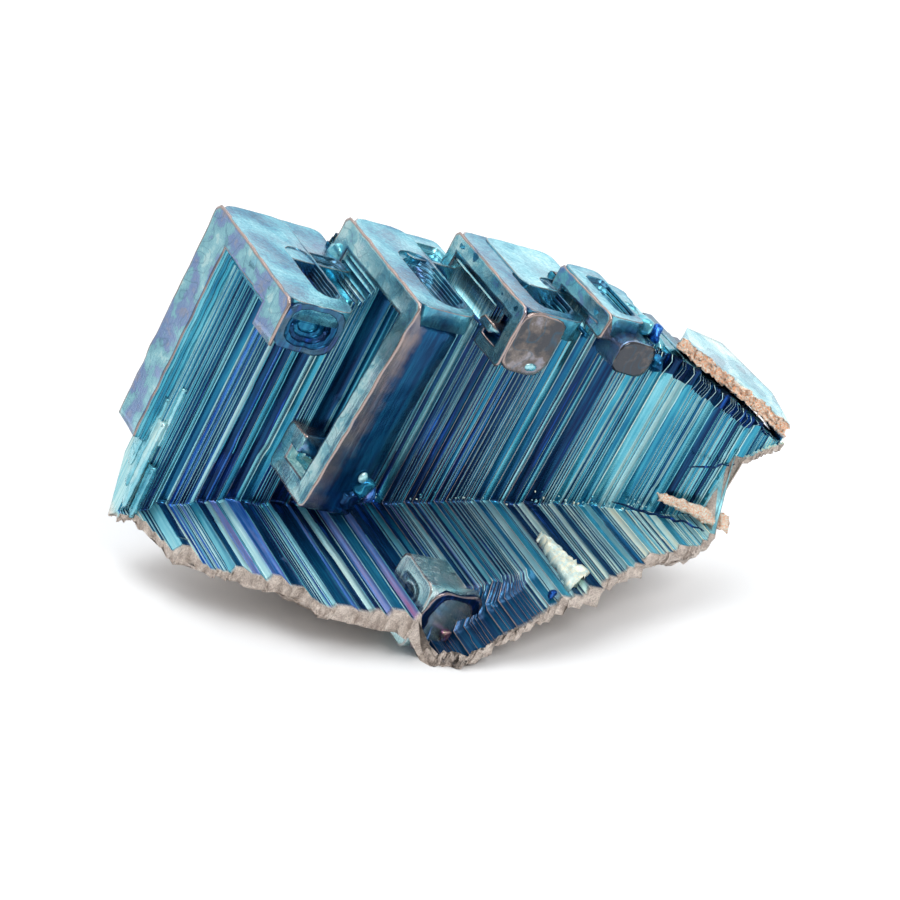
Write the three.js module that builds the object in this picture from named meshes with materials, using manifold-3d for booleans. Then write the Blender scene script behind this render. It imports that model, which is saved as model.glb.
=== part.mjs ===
// A bismuth hopper crystal, resting on the flat where its base was cut off.
//
// The crystal's three growth axes are nearly at right angles. "Rise" runs up the stepped wall,
// "reach" runs out along the stepped seat, and "run" runs sideways, the way the hopper deepens.
// Every size along these axes is in millimetres from the topmost outer corner, and a solid is
// made with x = rise, y = reach, z = run before the whole crystal is leaned over.
import * as THREE from 'three';
import { mergeVertices } from 'three/addons/utils/BufferGeometryUtils.js';
import Module from 'manifold-3d';

const wasm = await Module();
wasm.setup();

// How the crystal leans and stands, in its resting frame.
const LEAN_DEG = 26.3;
const TURN_DEG = 27.8;
const TOP_CORNER = new THREE.Vector3(-22.5, 5.2, 38.2);

// The stepped field: the line where wall meets seat, from its shallow end to its deep end.
const VALLEY_START = { rise: -32.9, reach: 5.6, run: 1.2 };
const VALLEY_SPAN = { rise: 27.8, reach: 27.7, run: 45.1 };
const VALLEY_ARCH = 1.7;
const VALLEY_END_SHARE = 1.055;
const STEP_COUNT = 60;
const STEP_LAP = 0.35;

// Envelope of the field, read along the run: [run, size].
const WALL_TOP = [[0, -1.4], [9, -1.2], [11.2, -0.8], [12, 2.4], [22, 2.4], [24, 5.6], [29, 5.8],
  [33, 5.2], [36.2, 8.8], [39, 8.8], [42, 8.1], [45, 7.2], [49, 5.4]];
const WALL_BACK = [[0, 2.6], [3, 1.4], [9, 0.9], [13.5, 3.9], [23, 8.2], [31, 14.2], [40, 19.5],
  [49, 25.5]];
const WALL_FOOT = [[46, -7], [46.4, -2.4], [47.6, 3.0], [49, 4.9]];
const HEEL_CUT = [[0, 2.6], [9, 0.8], [49, 0.8]];
const HEEL_RISE = 5.0;
const SEAT_LENGTH = [[1.2, 1.0], [2.4, 2.0], [3.9, 10.6], [7, 13.8], [11.6, 18.4], [16, 20.0],
  [20.4, 22.2], [26.3, 19.4], [31.6, 15.6], [37, 11.0], [43.8, 5.4], [47, 2.0]];
const SEAT_BACK = [[0, 0.8], [4, 3.4], [10, 6.8], [30, 7.4], [49, 7.4]];
const SEAT_RIM = [[1.2, 0.5], [8, 1.8], [17, 2.6], [22, 3.2], [30, 2.0], [47, 1.4]];
const SEAT_MIDDLE = [[1.2, 0.8], [9, 4.6], [47, 4.2]];
const RAGGED_FRONT = 1.1;
const RAGGED_TOP = 0.5;

// The rough base under the seat, in the resting frame.
const BASE_CENTRE = new THREE.Vector3(-3.5, -1.2, 0.6);
const BASE_HALF = new THREE.Vector3(11.5, 9.2, 5.2);
const BASE_ROUGHNESS = 0.13;
const CUT_SIZE = 160;

const OXIDE = new THREE.MeshStandardMaterial({ color: 0x3f8fb0, roughness: 0.28, metalness: 1.0 });

/** Reads an envelope list at a place along the run, by straight lines between its points. */
function along(list, run) {
  const next = list.findIndex(([place]) => place >= run);
  if (next < 0) return list[list.length - 1][1];
  if (next === 0) return list[0][1];
  const [before, low] = list[next - 1];
  const [after, high] = list[next];
  return low + ((high - low) * (run - before)) / (after - before);
}

/** A repeatable number from 0 to 1 for a count and a purpose. */
function chance(count, purpose) {
  const wave = Math.sin(count * 12.9898 + purpose * 78.233) * 43758.5453;
  return wave - Math.floor(wave);
}

/** Turns a closed three.js geometry into a solid that can be joined and cut. */
function solid(geometry) {
  const bare = geometry.index ? geometry.toNonIndexed() : geometry.clone();
  bare.deleteAttribute('normal');
  bare.deleteAttribute('uv');
  const merged = mergeVertices(bare, 1e-5);
  return new wasm.Manifold(new wasm.Mesh({
    numProp: 3,
    vertProperties: new Float32Array(merged.attributes.position.array),
    triVerts: new Uint32Array(merged.index.array),
  }));
}

/** A block between two limits along each growth axis. */
function block(rise, reach, run) {
  const sizes = [rise, reach, run].map(([low, high]) => high - low);
  const middles = [rise, reach, run].map(([low, high]) => (high + low) / 2);
  return solid(new THREE.BoxGeometry(...sizes).translate(...middles));
}

/** A solid from an outline in rise and reach, pushed along the run. */
function plate(outline, run, depth) {
  const shape = new THREE.Shape(outline.map(([rise, reach]) => new THREE.Vector2(rise, reach)));
  const pushed = new THREE.ExtrudeGeometry(shape, { depth, bevelEnabled: false });
  return solid(pushed.translate(0, 0, run));
}

/** The valley line's place at a share of the way from its shallow end to its deep end. */
function valley(share) {
  return {
    rise: VALLEY_START.rise + VALLEY_SPAN.rise * share + VALLEY_ARCH * Math.sin(Math.PI * share),
    reach: VALLEY_START.reach + VALLEY_SPAN.reach * share,
    run: VALLEY_START.run + VALLEY_SPAN.run * share,
  };
}

/** Shares of the valley at which steps begin: uneven, because growth was uneven. */
function stepShares() {
  const widths = Array.from({ length: STEP_COUNT }, (_, step) => 0.45 + chance(step, 1) ** 2 * 1.6);
  const total = widths.reduce((sum, width) => sum + width, 0);
  let gone = 0;
  return widths.map((width) => {
    const share = (VALLEY_END_SHARE * gone) / total;
    gone += width;
    return share;
  });
}

/** One step of the field: an L of wall and seat, one step thick along the run. */
function fieldStep(share, nextShare, step) {
  const inner = valley(share);
  const depth = valley(nextShare).run - inner.run + STEP_LAP;
  const top = along(WALL_TOP, inner.run) - RAGGED_TOP * chance(step, 2);
  const back = along(WALL_BACK, inner.run);
  if (share > 1) {
    const foot = along(WALL_FOOT, inner.run);
    return plate([[foot, inner.reach], [top, inner.reach], [top, back], [foot, back]],
      inner.run, depth);
  }
  const front = inner.reach + along(SEAT_LENGTH, inner.run) - RAGGED_FRONT * chance(step, 3);
  const middle = (inner.reach + front) / 2;
  return plate([
    [inner.rise, inner.reach],
    [top, inner.reach],
    [top, back],
    [inner.rise + HEEL_RISE, back],
    [inner.rise - along(SEAT_BACK, inner.run), back + along(HEEL_CUT, inner.run)],
    [inner.rise - along(SEAT_MIDDLE, inner.run), middle],
    [inner.rise - along(SEAT_RIM, inner.run) - 0.5 * chance(step, 4), front],
    [inner.rise, front],
  ], inner.run, depth);
}

/** The whole stepped field, wall and seat together. */
function field() {
  const shares = stepShares();
  const steps = shares.map((share, step) => (
    fieldStep(share, shares[step + 1] ?? VALLEY_END_SHARE, step)));
  return wasm.Manifold.union(steps);
}

/** A square pit of shrinking terraces, sunk into a top face along -rise. */
function topPit(top, reach, run, levels, drop, shrink) {
  const cuts = Array.from({ length: levels }, (_, level) => {
    const inset = level * shrink;
    return block([top - drop * (level + 1), top + 1], [reach[0] + inset, reach[1] - inset],
      [run[0] + inset * 0.6, run[1] - inset * 0.3]);
  });
  return wasm.Manifold.union(cuts);
}

/** A square pit of shrinking terraces, sunk into an end face along -reach. */
function endPit(end, rise, run, levels, drop, shrink) {
  const cuts = Array.from({ length: levels }, (_, level) => {
    const inset = level * shrink;
    return block([rise[0] + inset, rise[1] - inset], [end - drop * (level + 1), end + 1],
      [run[0] + inset, run[1] - inset]);
  });
  return wasm.Manifold.union(cuts);
}

/** The outermost hopper frame: a long side bar, a roof and a down-turned lip. */
function firstFrame() {
  const sideBar = block([-24.8, 0], [-0.4, 4.4], [0, 9.4]);
  const roof = block([-2.4, 0], [-0.4, 18.5], [0, 7.6]);
  const roofBack = block([-2.4, -0.2], [-0.4, 8.0], [0, 11.8]);
  const lip = block([-5.1, 0], [14.2, 18.5], [0, 6.9]);
  return sum([sideBar, roof, roofBack, lip])
    .subtract(topPit(0, [6.2, 15.2], [4.8, 12.5], 3, 0.45, 0.7))
    .subtract(endPit(18.5, [-4.5, -0.6], [0.9, 6.3], 3, 0.35, 0.55));
}

/** The second frame: a roof, a long near bar, and a foot that hooks back up. */
function secondFrame() {
  const roof = block([1.5, 3.9], [3.8, 21.5], [11.5, 18.6]);
  const nearBar = block([-20.4, 3.9], [18.1, 21.5], [11.5, 17.2]);
  const innerBars = [0, 1, 2].map((level) => block(
    [-20.2, 2.4 - 0.3 * level],
    [15.6 - 0.3 * level, 19.8 - level],
    [12.4, 18.1 + 1.6 * level],
  ));
  const footBar = block([-20.4, -18.3], [12.4, 21.3], [11.5, 18.4]);
  const hookRise = block([-20.4, -15.0], [12.4, 14.4], [11.5, 16.8]);
  const hookTip = block([-16.9, -15.0], [12.4, 15.8], [11.5, 16.8]);
  return sum([roof, nearBar, ...innerBars, footBar, hookRise, hookTip])
    .subtract(topPit(3.9, [8.2, 19.6], [14.2, 20], 3, 0.5, 0.75));
}

/** The third frame: a roof with a short square lip. */
function thirdFrame() {
  const roof = block([4.8, 7.0], [7.7, 23.4], [21.4, 29.0]);
  const lip = block([0.4, 7.0], [19.2, 23.4], [21.4, 27.0]);
  const backBoard = block([4.0, 7.2], [7.8, 17.4], [24.4, 33.0]);
  return sum([roof, lip, backBoard])
    .subtract(topPit(7.0, [14.8, 21.0], [23.2, 27.4], 2, 0.5, 0.6));
}

/** The fourth frame: a narrow roof, and the rounded block that hangs beyond it. */
function fourthFrame() {
  const roof = block([7.4, 9.6], [15.4, 25.9], [29.0, 33.4]);
  const lip = block([6.4, 9.6], [22.8, 25.9], [29.0, 32.6]);
  const hanging = block([4.8, 8.3], [21.0, 27.8], [30.4, 34.7]);
  const backBoard = block([5.7, 8.7], [15.6, 22.4], [31.6, 36.6]);
  return sum([roof, lip, hanging, backBoard])
    .subtract(topPit(9.6, [17.2, 24.4], [30.2, 32.4], 2, 0.45, 0.5));
}

/** The end crystal: a thin tilted cap left above the torn tops of the last steps. */
function endCap() {
  const outline = [[8.2, 21.9], [9.3, 22.9], [9.2, 28.9], [7.4, 34.4], [6.0, 35.4], [4.0, 34.0],
    [6.4, 26.4]];
  const lower = outline.map(([rise, reach]) => [rise - 0.9, reach]);
  return plate(outline, 40.8, 4.4).add(plate(lower, 44.8, 3.6));
}

/** The small block grown on the seat, with its own square hollow. */
function seatBlock() {
  const body = block([-25.6, -18.2], [28.6, 35.2], [18.1, 24.4]);
  const hollow = endPit(35.2, [-24.2, -19.4], [19.4, 23.8], 3, 1.0, 0.5);
  return body.subtract(hollow);
}

/** Joins a list of solids. */
function sum(solids) {
  return wasm.Manifold.union(solids);
}

/** The broken lump under the seat, still in the resting frame. */
function baseLump() {
  const lump = mergeVertices(stripped(new THREE.IcosahedronGeometry(1, 5)), 1e-5);
  const place = lump.attributes.position;
  const point = new THREE.Vector3();
  for (let corner = 0; corner < place.count; corner += 1) {
    point.fromBufferAttribute(place, corner);
    const swell = 1 + BASE_ROUGHNESS * (chance(corner, 5) - 0.5)
      + BASE_ROUGHNESS * Math.sin(point.x * 5 + 1) * Math.cos(point.y * 4 + 2);
    point.multiplyScalar(swell).multiply(BASE_HALF).add(BASE_CENTRE);
    place.setXYZ(corner, point.x, point.y, point.z);
  }
  return lump;
}

/** A geometry with only its positions left. */
function stripped(geometry) {
  const bare = geometry.clone();
  bare.deleteAttribute('normal');
  bare.deleteAttribute('uv');
  return bare;
}

/** The turn and lift that take the growth axes into the resting frame. */
function restingPlace() {
  const swap = new THREE.Matrix4().makeBasis(
    new THREE.Vector3(0, 0, 1), new THREE.Vector3(0, -1, 0), new THREE.Vector3(1, 0, 0));
  return new THREE.Matrix4().makeTranslation(TOP_CORNER.x, TOP_CORNER.y, TOP_CORNER.z)
    .multiply(new THREE.Matrix4().makeRotationY(THREE.MathUtils.degToRad(LEAN_DEG)))
    .multiply(new THREE.Matrix4().makeRotationZ(THREE.MathUtils.degToRad(TURN_DEG)))
    .multiply(swap);
}

/** The one outer skin of a joined solid: closed pores inside the metal are filled. */
function outerShell(joined) {
  const skins = joined.decompose();
  return skins.reduce((largest, skin) => (skin.volume() > largest.volume() ? skin : largest));
}

/** The finished crystal as a three.js geometry along the growth axes. */
function crystalGeometry(place) {
  const back = place.clone().invert();
  const below = new THREE.BoxGeometry(CUT_SIZE, CUT_SIZE, CUT_SIZE);
  below.translate(0, 0, -CUT_SIZE / 2).applyMatrix4(back);
  const joined = sum([
    field(), firstFrame(), secondFrame(), thirdFrame(), fourthFrame(), endCap(), seatBlock(),
    solid(baseLump().applyMatrix4(back)),
  ]).subtract(solid(below));
  const mesh = outerShell(joined).getMesh();
  const geometry = new THREE.BufferGeometry();
  geometry.setAttribute('position', new THREE.BufferAttribute(mesh.vertProperties, 3));
  geometry.setIndex(new THREE.BufferAttribute(mesh.triVerts, 1));
  geometry.computeVertexNormals();
  return geometry;
}

const place = restingPlace();
const crystal = new THREE.Mesh(crystalGeometry(place), OXIDE);
crystal.name = 'bismuth_crystal';

const leaning = new THREE.Group();
leaning.applyMatrix4(place);
leaning.add(crystal);

const group = new THREE.Group();
group.add(leaning);

export default group;
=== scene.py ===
"""A bismuth hopper crystal on a pale studio floor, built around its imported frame.

The crystal's three growth axes are rise (up the stepped wall), reach (out along the stepped seat)
and run (sideways, the way the hopper deepens). Every surface is first worked out on those axes in
millimetres from the topmost outer corner, and then turned and lifted into the resting frame.
"""
from __future__ import annotations

import logging
import math
from dataclasses import dataclass, field
from enum import Enum

import bpy
import numpy as np
from mathutils import Matrix, Vector


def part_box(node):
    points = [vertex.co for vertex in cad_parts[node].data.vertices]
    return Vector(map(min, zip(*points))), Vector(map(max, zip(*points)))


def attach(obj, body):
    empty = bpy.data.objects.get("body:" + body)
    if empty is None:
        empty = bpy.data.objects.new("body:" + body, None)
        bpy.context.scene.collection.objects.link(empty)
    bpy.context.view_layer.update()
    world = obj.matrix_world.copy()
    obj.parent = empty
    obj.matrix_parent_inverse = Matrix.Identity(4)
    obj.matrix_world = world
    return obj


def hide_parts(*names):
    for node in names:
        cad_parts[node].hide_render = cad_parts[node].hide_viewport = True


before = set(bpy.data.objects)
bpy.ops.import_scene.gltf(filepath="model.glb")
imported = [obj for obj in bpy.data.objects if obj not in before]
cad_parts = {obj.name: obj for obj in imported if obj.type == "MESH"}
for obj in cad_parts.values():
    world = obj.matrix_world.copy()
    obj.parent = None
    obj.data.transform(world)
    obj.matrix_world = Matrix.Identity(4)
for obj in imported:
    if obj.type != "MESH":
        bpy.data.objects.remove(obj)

LOG = logging.getLogger("bismuth")
MM = 0.001
BODY = "root"
NODE = "bismuth_crystal"

Array = np.ndarray


# --------------------------------------------------------------------------------------------
# Growth axes
# --------------------------------------------------------------------------------------------

@dataclass(frozen=True)
class GrowthAxes:
    """How the crystal's growth axes lean in the resting frame, and where its top corner is."""

    lean_deg: float = 26.3
    turn_deg: float = 27.8
    corner_from_low_mm: tuple[float, float, float] = (12.45, 25.33, 38.2)

    def turning(self) -> Array:
        """Returns the 3 by 3 matrix whose columns are rise, reach and run in the resting frame."""
        lean, turn = math.radians(self.lean_deg), math.radians(self.turn_deg)
        about_y = np.array([[math.cos(lean), 0, math.sin(lean)], [0, 1, 0],
                            [-math.sin(lean), 0, math.cos(lean)]])
        about_z = np.array([[math.cos(turn), -math.sin(turn), 0],
                            [math.sin(turn), math.cos(turn), 0], [0, 0, 1]])
        swap = np.array([[0, 0, 1], [0, -1, 0], [1, 0, 0]])
        return about_y @ about_z @ swap

    def corner(self) -> Array:
        """Returns the topmost outer corner in metres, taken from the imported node's box."""
        low, _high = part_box(NODE)
        return np.array(low) + np.array(self.corner_from_low_mm) * MM

    def place(self, points: Array) -> Array:
        """Turns growth coordinates into the resting frame.

        Args:
            points: Rows of rise, reach and run in millimetres.

        Returns:
            Rows of x, y and z in metres.
        """
        return points @ self.turning().T * MM + self.corner()

    def find(self, places: Array) -> Array:
        """Turns resting coordinates in metres back into growth coordinates in millimetres."""
        return (places - self.corner()) / MM @ self.turning()


AXES = GrowthAxes()


# --------------------------------------------------------------------------------------------
# Closed shells from grids
# --------------------------------------------------------------------------------------------

MARKS = ("wear", "broken", "fresh", "skin", "seat")


@dataclass
class Shell:
    """A closed surface made of a grid that closes round on itself, with a cap at each end.

    Attributes:
        grid: Points by row and column, on the growth axes, in millimetres.
        film: Oxide film value of each cell of the grid, from 0 to 1.
        marks: How far each point is worn, broken metal, fresh fracture, mottled skin, or on the
            seat arm, by name and from 0 to 1. A mark left out is 0 everywhere.
    """

    grid: Array
    film: Array
    marks: dict[str, Array] = field(default_factory=dict)

    def mark(self, name: str) -> Array:
        """Returns one mark for every point."""
        return np.broadcast_to(self.marks.get(name, 0.0), self.grid.shape[:2])

    def faces(self) -> tuple[Array, list[Array]]:
        """Returns the four-cornered faces as rows of point numbers, and the two end caps."""
        rows, columns = self.grid.shape[:2]
        number = np.arange(rows * columns).reshape(rows, columns)
        beside = np.roll(number, -1, axis=1)
        quads = np.stack([number[:-1], beside[:-1], beside[1:], number[1:]], axis=-1)
        return quads.reshape(-1, 4), [number[0, ::-1], number[-1]]

    def volume(self) -> float:
        """Returns the signed volume: the sum over triangles of the corners' triple product."""
        quads, caps = self.faces()
        points = self.grid.reshape(-1, 3)
        fans = [np.stack([np.full(len(cap) - 2, cap[0]), cap[1:-1], cap[2:]], 1) for cap in caps]
        corners = points[np.concatenate([quads[:, [0, 1, 2]], quads[:, [0, 2, 3]], *fans])]
        crossed = np.cross(corners[:, 1], corners[:, 2])
        return float(np.einsum("ij,ij->", corners[:, 0], crossed) / 6.0)


def shells_to_object(name: str, shells: list[Shell]) -> bpy.types.Object:
    """Puts one or more shells into one mesh object at the origin.

    Args:
        name: The piece's name.
        shells: Closed shells on the growth axes.

    Returns:
        The new object, with the film and every mark as attributes.
    """
    points, loops, totals, film, marks, first = [], [], [], [], [], 0
    for shell in shells:
        quads, caps = shell.faces()
        if shell.volume() < 0:
            quads, caps = quads[:, ::-1], [cap[::-1] for cap in caps]
        flat = shell.grid.reshape(-1, 3)
        places = AXES.place(flat)
        places[:, 2] = np.maximum(places[:, 2], 0.0)
        points.append(places)
        loops.append(np.concatenate([quads.ravel(), *caps]) + first)
        totals.append(np.concatenate([np.full(len(quads), 4), [len(cap) for cap in caps]]))
        film.append(np.concatenate([shell.film[:-1].ravel(), [shell.film[0, 0], shell.film[-2, 0]]]))
        marks.append(np.stack([shell.mark(key).ravel() for key in MARKS]))
        first += len(flat)
    mesh = mesh_from_arrays(name, np.concatenate(points), np.concatenate(loops),
                            np.concatenate(totals))
    put_attribute(mesh, "film", "FACE", np.concatenate(film))
    for key, values in zip(MARKS, np.concatenate(marks, axis=1)):
        put_attribute(mesh, key, "POINT", values)
    piece = bpy.data.objects.new(name, mesh)
    bpy.context.scene.collection.objects.link(piece)
    return piece


def mesh_from_arrays(name: str, points: Array, loops: Array, totals: Array) -> bpy.types.Mesh:
    """Makes a mesh from whole arrays.

    Args:
        name: The mesh's name.
        points: Rows of x, y and z in metres.
        loops: Point numbers, face after face.
        totals: How many corners each face has.

    Returns:
        The new mesh.
    """
    mesh = bpy.data.meshes.new(name)
    mesh.vertices.add(len(points))
    mesh.vertices.foreach_set("co", points.astype(np.float32).ravel())
    mesh.loops.add(len(loops))
    mesh.loops.foreach_set("vertex_index", loops.astype(np.int32))
    mesh.polygons.add(len(totals))
    starts = np.concatenate([[0], np.cumsum(totals)[:-1]])
    mesh.polygons.foreach_set("loop_start", starts.astype(np.int32))
    mesh.update(calc_edges=True)
    return mesh


def put_attribute(mesh: bpy.types.Mesh, name: str, domain: str, values: Array) -> None:
    """Stores one number per point or per face on a mesh."""
    attribute = mesh.attributes.new(name, "FLOAT", domain)
    attribute.data.foreach_set("value", values.astype(np.float32))


# --------------------------------------------------------------------------------------------
# Shared shapes
# --------------------------------------------------------------------------------------------

def ripple(points: Array, wavelength: float, seed: int, waves: int = 7) -> Array:
    """Smooth repeatable noise: a sum of sine waves in random directions.

    Args:
        points: An array whose last axis is a position in millimetres.
        wavelength: The middle wavelength in millimetres.
        seed: Chooses the directions and phases.
        waves: How many waves are summed.

    Returns:
        Values from about -1 to 1, one for each position.
    """
    rng = np.random.default_rng(seed)
    way = rng.normal(size=(waves, 3))
    way *= (2 * math.pi / wavelength) * rng.uniform(0.6, 1.5, (waves, 1)) / np.linalg.norm(
        way, axis=1, keepdims=True)
    phase = rng.uniform(0, 2 * math.pi, waves)
    return np.sin(points @ way.T + phase).sum(-1) / math.sqrt(waves * 1.6)


def roughen(points: Array, amount: Array | float, seed: int, coarse: float = 1.6) -> Array:
    """Moves points by three octaves of ripple along each axis, as on torn metal.

    Args:
        points: Positions in millimetres.
        amount: How far they move, one number or one for each point.
        seed: Chooses the pattern.
        coarse: The coarsest wavelength in millimetres.

    Returns:
        The moved points.
    """
    shift = np.zeros_like(points)
    for axis in range(3):
        for octave in range(3):
            part = ripple(points, coarse / 2.1 ** octave, seed + axis * 31 + octave * 7)
            shift[..., axis] += (1 - 2 * np.abs(part)) * 0.5 / 1.7 ** octave
    return points + shift * np.asarray(amount)[..., None]


@dataclass(frozen=True)
class Stair:
    """A staircase profile with a small raised, worn crest on every outer edge.

    Each step gives five rows: the inner corner, the end of the tread, two rows of crest, and the
    start of the riser. The rows move by advance (along the tread) and depth (down the riser).

    Attributes:
        count: How many steps there are.
        ROWS: How many rows each step gives.
        DONE: Which share of the step's advance is done at each of its rows, 0 or 1.
        SIDE: Offset of each row along the tread, in crest sizes.
        DOWN: Offset of each row down the riser, in crest sizes.
        WEAR: 1 on the crest rows.
    """

    count: int

    ROWS = 5
    DONE = np.array([0.0, 1.0, 1.0, 1.0, 1.0])
    SIDE = np.array([0.0, -1.0, -0.40, 0.16, 0.0])
    DOWN = np.array([0.0, 0.0, -0.24, 0.22, 1.0])
    WEAR = np.array([0.0, 0.0, 1.0, 1.0, 0.0])

    def steps(self) -> Array:
        """Returns the step number of every row."""
        return np.repeat(np.arange(self.count), self.ROWS)

    def tiled(self, pattern: Array) -> Array:
        """Returns a five-row pattern repeated for every step."""
        return np.tile(pattern, self.count)

    def is_tread(self) -> Array:
        """Returns which rows begin a tread face; the others begin a crest or a riser face."""
        return self.tiled(np.array([1, 1, 0, 0, 0], bool))


# --------------------------------------------------------------------------------------------
# The stepped field
# --------------------------------------------------------------------------------------------

# Darkest film, painted shade: in the shadowed valley, between the scalloped tops and in cracks.
PAINTED_SHADE_FILM = 0.51

# Films of the field by arm and face, each row at one share of the steps: that share, the middle
# film, the spread between steps, and the chance of a blue flat.
FIELD_FILMS = {
    ("wall", "tread"): ((0, 0.81, 0.05, 0.02), (0.3, 0.80, 0.10, 0.04), (0.5, 0.77, 0.10, 0.03),
                        (0.75, 0.80, 0.06, 0.0), (1, 0.80, 0.05, 0.0)),
    ("wall", "riser"): ((0, 0.62, 0.10, 0.04), (0.1, 0.58, 0.10, 0.10), (0.3, 0.57, 0.09, 0.08),
                        (0.5, 0.58, 0.09, 0.04), (0.7, 0.62, 0.07, 0.0), (1, 0.67, 0.05, 0.0)),
    ("seat", "tread"): ((0, 0.84, 0.05, 0.20), (0.3, 0.82, 0.11, 0.25), (0.5, 0.82, 0.12, 0.06),
                        (0.64, 0.97, 0.06, 0.0), (1, 1.01, 0.05, 0.0)),
    ("seat", "riser"): ((0, 0.68, 0.10, 0.20), (0.3, 0.57, 0.10, 0.22), (0.5, 0.56, 0.10, 0.05),
                        (0.64, 0.66, 0.14, 0.0), (1, 0.76, 0.14, 0.0)),
}

# The least and the greatest film that the spread between steps may lead to.
FILM_LIMITS = (0.545, 0.89)

# Dark risers: their chance, their film, and the share of the steps past which there are none.
DARK_CHANCE = 0.40
DARK_FILM = 0.53
DARK_UNTIL = 0.7

# Pale treads, a paler film and a painted highlight on random steps: their chance. Then the films of
# pale and of blue flats, by arm.
PALE_HIGHLIGHT_CHANCE = 0.22
PALE_HIGHLIGHT_FLATS = {"wall": (0.84, 0.88), "seat": (0.86, 0.93)}
BLUE_FLATS = {"wall": (0.41, 0.45), "seat": (0.34, 0.42)}


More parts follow.
